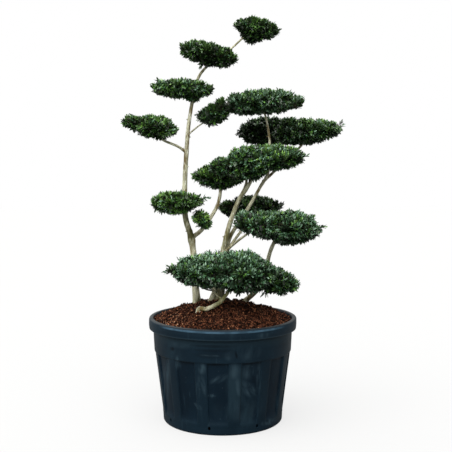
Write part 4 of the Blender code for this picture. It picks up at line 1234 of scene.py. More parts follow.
class Recipes:
    """The geometry node trees, each built once."""

    def __init__(self) -> None:
        """Build the trees."""
        self.leaves = self._leaves()
        self.twigs = self._twigs()
        self.bark = self._bark()
        self.scatter = self._scatter()

    @staticmethod
    def _start(name: str, inputs: dict) -> tuple:
        """Start a tree that takes a geometry and more inputs, and gives a geometry."""
        return new_group(name, "Geometry", {"Geometry": "Geometry"} | inputs, {"Geometry": "Geometry"})

    @staticmethod
    def _fact(nodes: Nodes, name: str, kind: str = "FLOAT_VECTOR") -> Socket:
        """A named attribute's value."""
        return nodes.output("GeometryNodeInputNamedAttribute", {"Name": name}, data_type=kind)

    @staticmethod
    def _placed(nodes: Nodes, points: Socket, forms: Socket, placing: dict) -> Socket:
        """One of a collection's forms on each point, with further inputs that place it."""
        info = {"Collection": forms, "Separate Children": True, "Reset Children": True}
        inputs = {"Points": points, "Instance": nodes.output("GeometryNodeCollectionInfo", info)}
        return nodes.output("GeometryNodeInstanceOnPoints", inputs | {"Pick Instance": True} | placing)

    def _leaves(self) -> Tree:
        """A leaf on each point, turned and sized by the point's attributes, with its tint's material."""
        tints = {tint.name: "Material" for tint in Tint}
        nodes, inputs = self._start("Leaves on points", {"Leaf forms": "Collection"} | tints)
        axes = {"Primary Axis": self._fact(nodes, "face"), "Secondary Axis": self._fact(nodes, "aim")}
        turn = nodes.output("FunctionNodeAxesToRotation", axes, primary_axis="Z", secondary_axis="X")
        placing = {"Instance Index": self._fact(nodes, "form", "INT"), "Rotation": turn}
        placing["Scale"] = self._fact(nodes, "size")
        leaves = self._placed(nodes, inputs["Geometry"], inputs["Leaf forms"], placing)
        leaves = nodes.output("GeometryNodeRealizeInstances", {0: leaves})
        number = self._fact(nodes, "tint", "INT")
        for tint in Tint:
            pair = {2: number, 3: tint.value}
            same = nodes.output("FunctionNodeCompare", pair, data_type="INT", operation="EQUAL")
            dressed = {0: leaves, "Selection": same, "Material": inputs[tint.name]}
            leaves = nodes.output("GeometryNodeSetMaterial", dressed)
        return nodes.close(Geometry=leaves)

    def _sweep(self, nodes: Nodes, inputs: bpy.types.NodeOutputs) -> Socket:
        """Tubes along loose edges, as thick as the points say, with closed ends."""
        ring = {"Resolution": inputs["Sides"], "Radius": 1.0}
        swept = {
            "Curve": nodes.output("GeometryNodeMeshToCurve", {0: inputs["Geometry"]}),
            "Profile Curve": nodes.output("GeometryNodeCurvePrimitiveCircle", ring),
            "Scale": self._fact(nodes, "thickness", "FLOAT"),
            "Fill Caps": True,
        }
        return nodes.output("GeometryNodeCurveToMesh", swept)

    @staticmethod
    def _dress(nodes: Nodes, inputs: bpy.types.NodeOutputs, shape: Socket) -> Tree:
        """Smooth and realize a shape and give it its material, which ends the tree."""
        shape = nodes.output("GeometryNodeSetShadeSmooth", {0: shape})
        shape = nodes.output("GeometryNodeRealizeInstances", {0: shape})
        shape = nodes.output("GeometryNodeSetMaterial", {0: shape, "Material": inputs["Material"]})
        return nodes.close(Geometry=shape)

    def _twigs(self) -> Tree:
        """Thin round twigs along paths."""
        nodes, inputs = self._start("Twigs along paths", {"Sides": 3, "Material": "Material"})
        return self._dress(nodes, inputs, self._sweep(nodes, inputs))

    def _bark(self) -> Tree:
        """Limbs along paths, their bark raised in lumps, long ridges and knots."""
        sizes = {"Lump size": 0.018, "Lump height": 0.0011, "Ridge size": 0.0045, "Ridge height": 0.00065}
        sizes |= {"Ridge length": 5.0, "Knot spacing": 0.050, "Knot height": 0.0022}
        nodes, inputs = self._start("Bark along limbs", {"Sides": 24, "Material": "Material"} | sizes)
        place = nodes.output("GeometryNodeInputPosition")
        drawn = nodes.stretched(place, inputs["Ridge length"])
        heights = []
        for kind, where, detail in (("Lump", place, 1.0), ("Ridge", drawn, 2.0)):
            bumps = nodes.noise(where, nodes.math("DIVIDE", 1.0, inputs[f"{kind} size"]), detail)
            bumps = nodes.math("SUBTRACT", bumps, 0.5)
            heights.append(nodes.math("MULTIPLY", bumps, inputs[f"{kind} height"]))
        spacing = {"Vector": place, "Scale": nodes.math("DIVIDE", 1.0, inputs["Knot spacing"])}
        knot = nodes.output("ShaderNodeTexVoronoi", spacing, name="Distance")
        knot = nodes.math("MULTIPLY", nodes.spread(knot, 0.22, 0.06, soft=True), inputs["Knot height"])
        raised = {0: nodes.output("GeometryNodeInputNormal")}
        raised["Scale"] = nodes.math("ADD", nodes.math("ADD", *heights), knot)
        offset = nodes.output("ShaderNodeVectorMath", raised, operation="SCALE")
        shape = nodes.output("GeometryNodeSetPosition", {0: self._sweep(nodes, inputs), "Offset": offset})
        return self._dress(nodes, inputs, shape)

    def _scatter(self) -> Tree:
        """Loose pieces strewn over a surface, each turned at random and lying near flat."""
        sockets = {"Pieces": "Collection", "Density": 1000.0, "Least size": 0.004, "Greatest size": 0.010}
        sockets |= {"Tilt": 0.6, "Seed": 1, "Material": "Material"}
        nodes, inputs = self._start("Pieces on a surface", sockets)
        tilt, seed = inputs["Tilt"], inputs["Seed"]
        spread = {"Mesh": inputs["Geometry"], "Density": inputs["Density"], "Seed": seed}
        strewn = nodes.add("GeometryNodeDistributePointsOnFaces", spread, distribute_method="RANDOM").outputs
        back = nodes.math("MULTIPLY", tilt, -1.0)
        lie = {0: nodes.combine(back, back, 0.0), 1: nodes.combine(tilt, tilt, FULL_TURN), "Seed": seed}
        lie = nodes.output("FunctionNodeRandomValue", lie, data_type="FLOAT_VECTOR")
        turn = {0: strewn["Rotation"], 1: nodes.output("FunctionNodeEulerToRotation", {0: lie})}
        sizes = {2: inputs["Least size"], 3: inputs["Greatest size"], "Seed": nodes.math("ADD", seed, 7.0)}
        placing = {
            "Rotation": nodes.output("FunctionNodeRotateRotation", turn, rotation_space="LOCAL"),
            "Scale": nodes.output("FunctionNodeRandomValue", sizes, name=1, data_type="FLOAT"),
        }
        return self._dress(nodes, inputs, self._placed(nodes, strewn["Points"], inputs["Pieces"], placing))


class Effects:
    """Shader node groups that several materials share, each built once."""

    def __init__(self) -> None:
        """Build the groups."""
        self.mottle = self._mottle()
        self.relief = self._relief()
        self.rubbing = self._rubbing()

    @staticmethod
    def _mottle() -> Tree:
        """Two colours in soft patches, and the patches' mask."""
        sockets = {"First": (0.5, 0.5, 0.5, 1.0), "Second": (0.2, 0.2, 0.2, 1.0), "Scale": 20.0}
        sockets |= {"Stretch": 1.0, "Detail": 4.0, "Low": 0.40, "High": 0.60}
        nodes, inputs = new_group("Mottle", "Shader", sockets, {"Color": "Color", "Mask": "Float"})
        place = nodes.stretched(nodes.place(), inputs["Stretch"])
        cloud = nodes.noise(place, inputs["Scale"], inputs["Detail"])
        mask = nodes.spread(cloud, inputs["Low"], inputs["High"], soft=True)
        return nodes.close(Color=nodes.mix(mask, inputs["First"], inputs["Second"]), Mask=mask)

    @staticmethod
    def _relief() -> Tree:
        """A fine uneven surface, as a normal."""
        sockets = {"Scale": 200.0, "Stretch": 1.0, "Depth": 0.0005}
        nodes, inputs = new_group("Relief", "Shader", sockets, {"Normal": "Vector"})
        grain = nodes.noise(nodes.stretched(nodes.place(), inputs["Stretch"]), inputs["Scale"], 3.0)
        raised = {"Height": grain, "Distance": inputs["Depth"]}
        return nodes.close(Normal=nodes.output("ShaderNodeBump", raised, name="Normal"))

    @staticmethod
    def _rubbing() -> Tree:
        """A mask of one patch, broken up by streaks; it marks wear, painted light and painted shade."""
        sockets = {"Centre": "Vector", "Width": 0.02, "Height": 0.02, "Strength": 0.5}
        sockets |= {"Grain": 60.0, "Lean": 0.0}
        nodes, inputs = new_group("Rubbed place", "Shader", sockets, {"Mask": "Float"})
        away = {0: nodes.place(), 1: inputs["Centre"]}
        right, deep, up = nodes.parts(nodes.output("ShaderNodeVectorMath", away, operation="SUBTRACT"))
        across = nodes.math("SUBTRACT", right, nodes.math("MULTIPLY", up, inputs["Lean"]))
        scaled = nodes.combine(
            nodes.math("DIVIDE", across, inputs["Width"]),
            nodes.math("DIVIDE", deep, MARK_DEPTH),
            nodes.math("DIVIDE", up, inputs["Height"]),
        )
        length = nodes.output("ShaderNodeVectorMath", {0: scaled}, name=1, operation="LENGTH")
        streaks = nodes.combine(across, deep, nodes.math("MULTIPLY", up, 0.22))
        broken = nodes.spread(nodes.noise(streaks, inputs["Grain"], 4.0), 0.36, 0.66)
        mask = nodes.math("MULTIPLY", nodes.spread(length, 1.0, 0.3, soft=True), broken)
        return nodes.close(Mask=nodes.math("MULTIPLY", mask, inputs["Strength"]))


@dataclass(frozen=True)
class Mark:
    """One patch on a surface: its middle, half its width and height, strength, streaks' scale and lean."""

    centre: Place
    width: float
    height: float
    strength: float
    grain: float
    lean: float = 0.0


class Finish:
    """What every finish shares: a material with one Principled shader, and calls to the shared effects."""

    def __init__(self, name: str, effects: Effects, specular: float) -> None:
        """Make the material, with its shader's specular level."""
        self.effects = effects
        self.material = bpy.data.materials.new(name)
        self.material.use_nodes = True
        self.nodes = Nodes(self.material.node_tree)
        self.shader = next(n for n in self.material.node_tree.nodes if n.type == "BSDF_PRINCIPLED")
        self.shader.inputs["Specular IOR Level"].default_value = specular

    def feed(self, socket: str, value: Socket) -> None:
        """Feed one of the shader's sockets."""
        self.nodes.tree.links.new(value, self.shader.inputs[socket])

    def mottle(
        self, first: Colour | Socket, second: Colour | Socket, **values: float
    ) -> bpy.types.NodeOutputs:
        """Two colours in soft patches and the patches' mask; the values are the effect's own."""
        inputs = {"First": first, "Second": second} | values
        return self.nodes.add("ShaderNodeGroup", inputs, node_tree=self.effects.mottle).outputs

    def mark(self, mark: Mark) -> Socket:
        """A mask that is bright in one patch."""
        inputs = {name.capitalize(): value for name, value in vars(mark).items()}
        return self.nodes.output("ShaderNodeGroup", inputs, node_tree=self.effects.rubbing)

    def roughen(self, mask: Socket, low: float, high: float) -> None:
        """Roughness that runs from low to high over a mask."""
        self.feed("Roughness", self.nodes.spread(mask, 0.0, 1.0, low, high))

    def raise_grain(self, scale: float, depth: float, stretch: float = 1.0) -> None:
        """Fine relief over the whole surface."""
        inputs = {"Scale": scale, "Depth": depth, "Stretch": stretch}
        self.feed("Normal", self.nodes.output("ShaderNodeGroup", inputs, node_tree=self.effects.relief))


@dataclass(frozen=True)
class LeafFinish:
    """A leaf's upper and under colours, and how glossy it is."""

    upper: Colour
    under: Colour
    rough: float = 0.36

    def make(self, tint: Tint, effects: Effects) -> bpy.types.Material:
        """The tint's material: a glossy upper face, a paler dull under face."""
        finish = Finish(f"leaf {tint.name.lower()}", effects, 0.55)
        near = tuple(0.72 * part for part in self.upper)
        upper = finish.mottle(self.upper, near, Scale=160.0, Detail=1.0, Low=0.35, High=0.68)
        back = finish.nodes.output("ShaderNodeNewGeometry", name="Backfacing")
        finish.feed("Base Color", finish.nodes.mix(back, upper["Color"], self.under))
        finish.roughen(finish.nodes.math("MAXIMUM", back, upper["Mask"]), self.rough, self.rough + 0.12)
        return finish.material


LEAF_FINISHES = {
    # DEEP and DARK are partly painted shade; BLUE and SILVER are a painted bluish sheen of the sky on the
    # leaves.
    Tint.DEEP: LeafFinish((0.0045, 0.0165, 0.0035), (0.008, 0.019, 0.005), 0.38),
    Tint.DARK: LeafFinish((0.021, 0.060, 0.012), (0.030, 0.062, 0.018), 0.31),
    Tint.GREEN: LeafFinish((0.057, 0.142, 0.027), (0.066, 0.130, 0.034), 0.28),
    Tint.BLUE: LeafFinish((0.066, 0.156, 0.078), (0.076, 0.142, 0.074), 0.24),
    Tint.SILVER: LeafFinish((0.175, 0.300, 0.195), (0.145, 0.230, 0.145), 0.24),
    Tint.LIGHT: LeafFinish((0.112, 0.260, 0.045), (0.110, 0.202, 0.050), 0.27),
    Tint.FRESH: LeafFinish((0.195, 0.375, 0.060), (0.158, 0.268, 0.064), 0.29),
}


KNOTS_AND_SHADE: tuple[Mark, ...] = (
    Mark((-0.13, 0.04, 0.728), 0.034, 0.042, 0.95, 60.0), Mark((-0.13, 0.04, 0.722), 0.03, 0.03, 1.0, 130.0),
    Mark((-0.128, 0.04, 0.734), 0.032, 0.028, 1.0, 210.0),
    Mark((-0.138, 0.04, 0.77), 0.03, 0.05, 0.8, 90.0, -0.4),
    Mark((-0.128, 0.04, 0.722), 0.034, 0.024, 1.0, 25.0),
    Mark((0.206, -0.01, 0.706), 0.03, 0.012, 0.9, 90.0),
    Mark((-0.106, 0.05, 0.452), 0.034, 0.02, 0.55, 90.0),
    Mark((0.04, 0.046, 0.735), 0.03, 0.07, 0.5, 90.0, 0.5),
    # The first mark on the next line is painted shade at the feet of trunk_centre and trunk_right.
    Mark((-0.02, 0.02, 0.488), 0.022, 0.05, 1.0, 45.0), Mark((-0.1235, 0.04, 0.49), 0.008, 0.012, 1.0, 60.0),
    Mark((-0.0956, 0.04, 0.466), 0.014, 0.022, 0.9, 90.0),
)


# Olive patches: moss, and painted shade where limbs run in the shade of the pads.
MOSS_AND_SHADE: tuple[Mark, ...] = (
    Mark((-0.024, -0.136, 0.468), 0.066, 0.04, 0.85, 45.0),
    Mark((0.01, -0.136, 0.51), 0.05, 0.05, 0.95, 60.0),
    Mark((0.004, 0.03, 0.7), 0.052, 0.09, 0.6, 55.0, 0.2), Mark((-0.148, 0.03, 0.8), 0.03, 0.08, 0.55, 60.0),
    Mark((0.062, 0.036, 0.856), 0.034, 0.09, 0.5, 50.0, 0.4),
    Mark((0.06, 0.02, 1.482), 0.055, 0.045, 0.5, 50.0),
    Mark((-0.085, 0.005, 1.352), 0.04, 0.036, 0.35, 50.0),
    Mark((-0.01, -0.136, 0.505), 0.04, 0.03, 0.6, 30.0),
)


# Painted light: pale patches on limb parts that lie in shade under the pads.
PAINTED_LIGHT_PATCHES: tuple[Mark, ...] = (
    Mark((-0.07, 0.05, 0.762), 0.04, 0.046, 1.0, 40.0), Mark((-0.078, 0.05, 0.752), 0.03, 0.04, 1.0, 23.0),
    Mark((0.19, 0.024, 0.66), 0.04, 0.07, 0.85, 40.0), Mark((-0.112, 0.046, 0.65), 0.03, 0.06, 0.55, 40.0),
    Mark((-0.108, 0.05, 0.49), 0.02, 0.05, 0.5, 40.0), Mark((0.108, 0.042, 0.845), 0.03, 0.055, 0.8, 40.0),
)


@dataclass(frozen=True)
class BarkFinish:
    """Pale grey-beige bark with brown and green patches, streaks along it and dark pores, with pale patches
    of painted light and dark patches of painted shade on some limbs.
    """

    pale: Colour = (0.610, 0.595, 0.430)
    grey: Colour = (0.31, 0.30, 0.20)
    brown: Colour = (0.17, 0.125, 0.050)
    # Moss, also the colour of painted shade on limbs under the pads.
    moss: Colour = (0.14, 0.14, 0.045)
    fleck: Colour = (0.78, 0.78, 0.68)
    # The dark of knots, also the colour of painted shade at the middle trunks' feet.
    knot: Colour = (0.062, 0.060, 0.016)
    pore: Colour = (0.06, 0.045, 0.022)
    moss_top: float = 0.85
    moss_full: float = 0.42
    moss_share: float = 0.45

    def make(self, effects: Effects) -> bpy.types.Material:
        """The bark of the trunks and boughs."""
        finish = Finish("bark", effects, 0.30)
        nodes = finish.nodes
        base = finish.mottle(self.pale, self.grey, Scale=60.0, Stretch=3.0, Detail=5.0, Low=0.42, High=0.60)
        colour = base["Color"]
        for layer, scale, stretch, detail, low, high in (
            (self.brown, 38.0, 2.4, 6.0, 0.475, 0.64),
            (self.brown, 230.0, 7.0, 2.0, 0.55, 0.66),
            (self.fleck, 170.0, 4.0, 2.0, 0.60, 0.70),
        ):
            values = {"Scale": scale, "Stretch": stretch, "Detail": detail, "Low": low, "High": high}
            colour = finish.mottle(colour, layer, **values)["Color"]
        low = nodes.spread(nodes.parts(nodes.place())[2], self.moss_top, self.moss_full)
        patches = finish.mottle((0, 0, 0), (1, 1, 1), Scale=26.0, Detail=4.0, Low=0.42, High=0.62)
        moss = nodes.math("MULTIPLY", patches["Mask"], nodes.math("MULTIPLY", low, self.moss_share))
        colour = nodes.mix(moss, colour, self.moss)
        # Painted light, then moss and painted shade, then knots and painted shade, laid on in turn.
        for marks, own in ((PAINTED_LIGHT_PATCHES, self.pale), (MOSS_AND_SHADE, self.moss), (KNOTS_AND_SHADE, self.knot)):
            for mark in marks:
                colour = nodes.mix(finish.mark(mark), colour, own)
        pores = finish.mottle(colour, self.pore, Scale=420.0, Stretch=0.6, Detail=1.0, Low=0.66, High=0.72)
        finish.feed("Base Color", pores["Color"])
        finish.roughen(base["Mask"], 0.62, 0.85)
        finish.raise_grain(700.0, 0.0006, 4.0)
        return finish.material


@dataclass(frozen=True)
class TwigFinish:
    """The brown of this year's and last year's twigs."""

    light: Colour = (0.068, 0.060, 0.032)
    dark: Colour = (0.030, 0.028, 0.014)

    def make(self, effects: Effects) -> bpy.types.Material:
        """The material of the twigs inside the pads."""
        finish = Finish("twig bark", effects, 0.30)
        base = finish.mottle(self.light, self.dark, Scale=70.0, Detail=3.0)
        finish.feed("Base Color", base["Color"])
        finish.roughen(base["Mask"], 0.60, 0.80)
        finish.raise_grain(900.0, 0.0004)
        return finish.material


WEAR_AND_GLINT: tuple[Mark, ...] = (
    Mark((-0.074, -0.25, 0.254), 0.019, 0.028, 1.0, 90.0),
    Mark((-0.088, -0.245, 0.185), 0.012, 0.058, 0.9, 60.0, 0.04),
    Mark((-0.07, -0.248, 0.195), 0.012, 0.052, 0.8, 60.0, -0.15),
    Mark((-0.091, -0.232, 0.108), 0.017, 0.015, 1.0, 90.0, -0.8),
    Mark((-0.0394, -0.25, 0.152), 0.02, 0.0085, 1.0, 150.0, 0.1),
    Mark((-0.0125, -0.255, 0.217), 0.032, 0.026, 0.65, 75.0, 1.1),
    Mark((0.043, -0.255, 0.247), 0.028, 0.038, 1.0, 32.0),
    Mark((0.056, -0.248, 0.188), 0.012, 0.046, 0.95, 50.0, -0.12),
    Mark((0.095, -0.24, 0.245), 0.038, 0.044, 0.85, 32.0),
    Mark((0.095, -0.232, 0.172), 0.036, 0.044, 0.75, 55.0, -0.6),
    Mark((0.134, -0.222, 0.217), 0.013, 0.08, 0.75, 60.0),
    Mark((-0.215, -0.13, 0.185), 0.026, 0.13, 0.7, 60.0, 0.1),
    Mark((-0.168, -0.2, 0.268), 0.01, 0.036, 0.85, 60.0),
    # A painted reflection on the heel.
    Mark((0.176, -0.15, 0.029), 0.044, 0.015, 1.0, 90.0, -0.45),
    Mark((0.063, -0.23, 0.095), 0.12, 0.055, 0.38, 26.0),
    Mark((-0.156, -0.225, 0.34), 0.055, 0.024, 0.6, 40.0),
    Mark((0.025, -0.27, 0.306), 0.026, 0.024, 0.6, 45.0),
    Mark((0.098, -0.25, 0.312), 0.064, 0.036, 0.55, 32.0, 0.3),
    Mark((-0.046, -0.268, 0.306), 0.055, 0.0045, 1.0, 60.0, -1.8),
    Mark((0.145, -0.25, 0.376), 0.036, 0.014, 0.85, 60.0),
    Mark((0.19, 0.17, 0.18), 0.06, 0.07, 0.5, 45.0, 0.4),
    Mark((-0.11, 0.23, 0.15), 0.045, 0.05, 0.55, 55.0, -0.5),
    Mark((-0.24, 0.06, 0.23), 0.05, 0.08, 0.45, 50.0, 0.2),
)


SCRATCHES_AND_SHADOWS: tuple[Mark, ...] = (
    Mark((-0.029, -0.268, 0.34), 0.105, 0.0075, 1.0, 9.0),
    Mark((-0.031, -0.268, 0.324), 0.09, 0.0085, 1.0, 9.0),
    Mark((-0.042, -0.268, 0.306), 0.08, 0.016, 0.8, 12.0),
    Mark((0.05, -0.262, 0.308), 0.0062, 0.019, 1.0, 40.0, -0.2),
    # The next three are painted shadows under the band's lower edge, over the panels.
    Mark((-0.187, -0.19, 0.316), 0.013, 0.01, 1.0, 20.0),
    Mark((-0.02, -0.262, 0.272), 0.05, 0.0085, 1.0, 9.0),
    Mark((-0.131, -0.232, 0.271), 0.04, 0.008, 1.0, 9.0),
    Mark((0.098, -0.243, 0.271), 0.034, 0.007, 1.0, 9.0),
    Mark((0.118, -0.225, 0.205), 0.012, 0.022, 0.8, 50.0, -0.4),
)


@dataclass(frozen=True)
class TubFinish:
    """Satin dark blue plastic with pale rubbed patches, drips and fine scratches, and painted light: paler
    ribs, a lighter strip under the rim, highlights on its lower edge and along the lip, a reflection at the
    heel, shadows under the band and a darkened crest.
    """

    plastic: Colour = (0.0025, 0.0096, 0.0176)
    deep: Colour = (0.0014, 0.0064, 0.0126)
    # Rubbed plastic, also the colour of the painted light on the ribs and under the rim.
    rubbed: Colour = (0.0086, 0.0215, 0.0320)
    dust: Colour = (0.024, 0.040, 0.052)
    # Scuffed plastic, also the colour of painted highlights on the heel and the rim's lower edge.
    scuffed: Colour = (0.0260, 0.0480, 0.0640)
    # The blue of a painted highlight along the front of the lip.
    faded: Colour = (0.0400, 0.0820, 0.1220)
    # Dust on the crest, which also paints its dark reflection of the compost and plant above.
    dusty: Colour = (0.0110, 0.0135, 0.0150)
    # Dark scratches, also the colour of the painted shadows under the band.
    scratched: Colour = (0.0006, 0.0030, 0.0060)
    wall_foot: float = 0.2308
    wall_slope: float = 0.1312
    lip_slope: float = -0.0155

    def make(self, effects: Effects) -> bpy.types.Material:
        """The tub's material."""
        finish = Finish("tub plastic", effects, 0.10)
        nodes = finish.nodes
        base = finish.mottle(self.plastic, self.deep, Scale=9.0, Detail=3.0, Low=0.35, High=0.70)
        colour, masks = base["Color"], []
        for layer, scale, stretch, detail, low, high in (
            (self.rubbed, 11.0, 2.6, 6.0, 0.53, 0.74),
            (self.rubbed, 70.0, 14.0, 3.0, 0.62, 0.78),
            (self.dust, 240.0, 1.6, 2.0, 0.70, 0.78),
        ):
            values = {"Scale": scale, "Stretch": stretch, "Detail": detail, "Low": low, "High": high}
            laid = finish.mottle(colour, layer, **values)
            colour = laid["Color"]
            masks.append(laid["Mask"])
        smear, streak, _ = masks
        # Scuffs and rubbed places, and one painted reflection at the heel.
        wear_and_glint, *others = [finish.mark(mark) for mark in WEAR_AND_GLINT]
        for mask in others:
            wear_and_glint = nodes.math("MAXIMUM", wear_and_glint, mask)
        colour = nodes.mix(wear_and_glint, colour, self.scuffed)
        right, deep, up = nodes.parts(nodes.place())
        # Painted light: the ribs a little paler, as where they catch the light.
        colour = nodes.mix(self.ribs(nodes, right, deep, up), colour, self.rubbed)
        # Painted light: the band's top under the rim is lightened against the shade of the rim's overhang.
        under = nodes.spread(up, 0.3200, 0.3500, 0.0, 0.95)
        under = nodes.math("MULTIPLY", under, self.strip(nodes, up, 0.30, 0.3620))
        colour = nodes.mix(under, colour, self.rubbed)
        # Dark scratches, and painted shadows under the band over the panels.
        for mark in SCRATCHES_AND_SHADOWS:
            colour = nodes.mix(finish.mark(mark), colour, self.scratched)
        # Painted highlight: a thin light line along the rim's lower edge.
        edge = nodes.math("MULTIPLY", self.strip(nodes, up, 0.3630, 0.3660), 0.35)
        colour = nodes.mix(edge, colour, self.scuffed)
        level = nodes.math("MULTIPLY_ADD", deep, self.lip_slope, up)
        # Painted highlight: a pale blue band along the front of the lip, as its reflection of the bright sky.
        front = nodes.spread(deep, -0.165, -0.220)
        lip_highlight_breakup = finish.mottle((0.50, 0.50, 0.50), (1, 1, 1), Scale=24.0, Detail=4.0, Low=0.36, High=0.60)
        lip_highlight_mask = nodes.math("MULTIPLY", front, self.strip(nodes, level, 0.3945, 0.4000))
        colour = nodes.mix(nodes.math("MULTIPLY", lip_highlight_mask, lip_highlight_breakup["Color"]), colour, self.faded)
        # The crest is darkened as dust and as a painted dark reflection of the compost and plant above.
        crest = nodes.spread(level, 0.4025, 0.4050, 0.0, 0.85)
        finish.feed("Base Color", nodes.mix(crest, colour, self.dusty))
        finish.roughen(nodes.math("MAXIMUM", smear, nodes.math("MAXIMUM", streak, wear_and_glint)), 0.44, 0.62)
        finish.raise_grain(520.0, 0.00018)
        return finish.material

    def ribs(self, nodes: Nodes, right: Socket, deep: Socket, up: Socket) -> Socket:
        """A faint mask where the wall stands out as far as its ribs, for a painted lightness where they catch
        the light.
        """
        square = nodes.math("ADD", nodes.math("POWER", right, 2.0), nodes.math("POWER", deep, 2.0))
        wall = nodes.math("MULTIPLY_ADD", up, self.wall_slope, self.wall_foot)
        away = nodes.math("SUBTRACT", nodes.math("SQRT", square), wall)
        return nodes.spread(away, -0.0035, -0.0008, 0.0, 0.24)

    @staticmethod
    def strip(nodes: Nodes, height: Socket, low: float, high: float) -> Socket:
        """A mask that is 1 between two heights and fades over 1.5 mm beyond them."""
        below = nodes.spread(height, low - 0.0015, low)
        return nodes.math("MULTIPLY", below, nodes.spread(height, high + 0.0015, high))


@dataclass(frozen=True)
class CompostFinish:
    """One colour of the compost: its body, its shaded grain and the grain's scale."""

    name: str
    light: Colour
    dark: Colour
    scale: float = 140.0

    def make(self, effects: Effects) -> bpy.types.Material:
        """The material of the mound or of one kind of chip."""
        finish = Finish(self.name, effects, 0.06)
        base = finish.mottle(self.light, self.dark, Scale=self.scale, Detail=3.0, Low=0.38, High=0.62)
        damp = finish.mottle(base["Color"], self.dark, Scale=19.0, Detail=3.0, Low=0.53, High=0.70)
        finish.feed("Base Color", damp["Color"])
        finish.roughen(base["Mask"], 0.75, 0.95)
        finish.raise_grain(600.0, 0.0008)
        return finish.material


EARTH = CompostFinish("compost", (0.028, 0.009, 0.004), (0.005, 0.002, 0.001), 70.0)
CHIP_DARK = CompostFinish("chip dark", (0.014, 0.0055, 0.003), (0.005, 0.002, 0.001))
CHIP_RED = CompostFinish("chip red", (0.124, 0.043, 0.022), (0.036, 0.012, 0.006))
CHIP_PALE = CompostFinish("chip pale", (0.380, 0.175, 0.085), (0.200, 0.080, 0.038))
CHIP_WHITE = CompostFinish("chip white", (0.560, 0.360, 0.235), (0.260, 0.120, 0.065))


def keep(piece: bpy.types.Object, slot: Slot, *nodes: str) -> None:
    """Name what a finished piece rides on and the CAD nodes it stands for, and log its triangles."""
    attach(piece, BODY)
    if nodes:
        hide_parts(*nodes)
    faces = sum(len(face.vertices) - 2 for face in piece.data.polygons)
    log.info("%s: %d triangles", piece.name, faces)


@dataclass
class Stems:
    """The trunks and boughs, each one tapering limb with its bark."""

    lines: dict[str, LimbLine]
    tree: Tree
    material: bpy.types.Material
    sides: int = 24
    thin_sides: int = 16
    thin_foot: float = 0.007
    collar: float = 0.20
    collar_length: float = 0.012
    swelling_length: float = 0.018
    stub_spacing: float = 0.085
    stub_gauge: float = 1.05
    stub_radius: float = 0.0021
    stub_length: float = 0.0050

    def radii(self, line: LimbLine) -> np.ndarray:
        """A limb's radii with a collar at its foot and a swelling where each bough leaves it."""
        along = np.concatenate(([0.0], np.cumsum(np.linalg.norm(np.diff(line.points, axis=0), axis=1))))
        share = np.ones(len(along))
        if line.limb.springs_from:
            share += self.collar * np.exp(-along / self.collar_length)
        for other in self.lines.values():
            if other.limb.springs_from == line.limb.name:
                apart = np.linalg.norm(line.points - other.points[0], axis=1)
                share += other.limb.swell * np.exp(-((apart / self.swelling_length) ** 2))
        return line.radii * share

    def stubs(self, line: LimbLine, rng: np.random.Generator) -> list[Chain]:
        """Short pruned stubs on the bare part of a limb."""
        bare = np.ones(len(line.points), bool)
        for mass in MASSES:
            bare &= mass.gauge(line.points) > self.stub_gauge
        places = np.nonzero(bare)[0][4:-4]
        found = []
        count = round(len(places) * LIMB_STEP / self.stub_spacing)
        for number in rng.choice(places, min(count, len(places)), replace=False) if count else ():
            way = unit(line.points[number + 1] - line.points[number - 1])
            side = unit(np.cross(way, rng.normal(0.0, 1.0, 3)))
            out = unit(side + 0.5 * way * rng.uniform(0.2, 1.0))
            reach = line.radii[number] + self.stub_length * rng.uniform(0.5, 1.2)
            size = min(self.stub_radius, 0.42 * line.radii[number]) * rng.uniform(0.7, 1.15)
            points = line.points[number] + np.outer((0.0, 0.6 * reach, reach), out)
            found.append((points, np.array((1.5, 1.1, 0.9)) * size))
        return found

    def build(self) -> None:
        """Make every limb."""
        for number, line in enumerate(self.lines.values()):
            name = line.limb.name
            rng = np.random.default_rng(STEM_SEED + number)
            chains = [(line.points, self.radii(line)), *self.stubs(line, rng)]
            sides = self.sides if line.limb.foot > self.thin_foot else self.thin_sides
            values = {"Sides": sides, "Material": self.material}
            piece = run_recipe(paths_object(name, chains), self.tree, values, f"bark_{name}")
            if line.limb.flare:
                level = foot_level(line.limb)
                for corner in piece.data.vertices:
                    corner.co.z = max(corner.co.z, level)
            keep(piece, Slot.BARK, name)


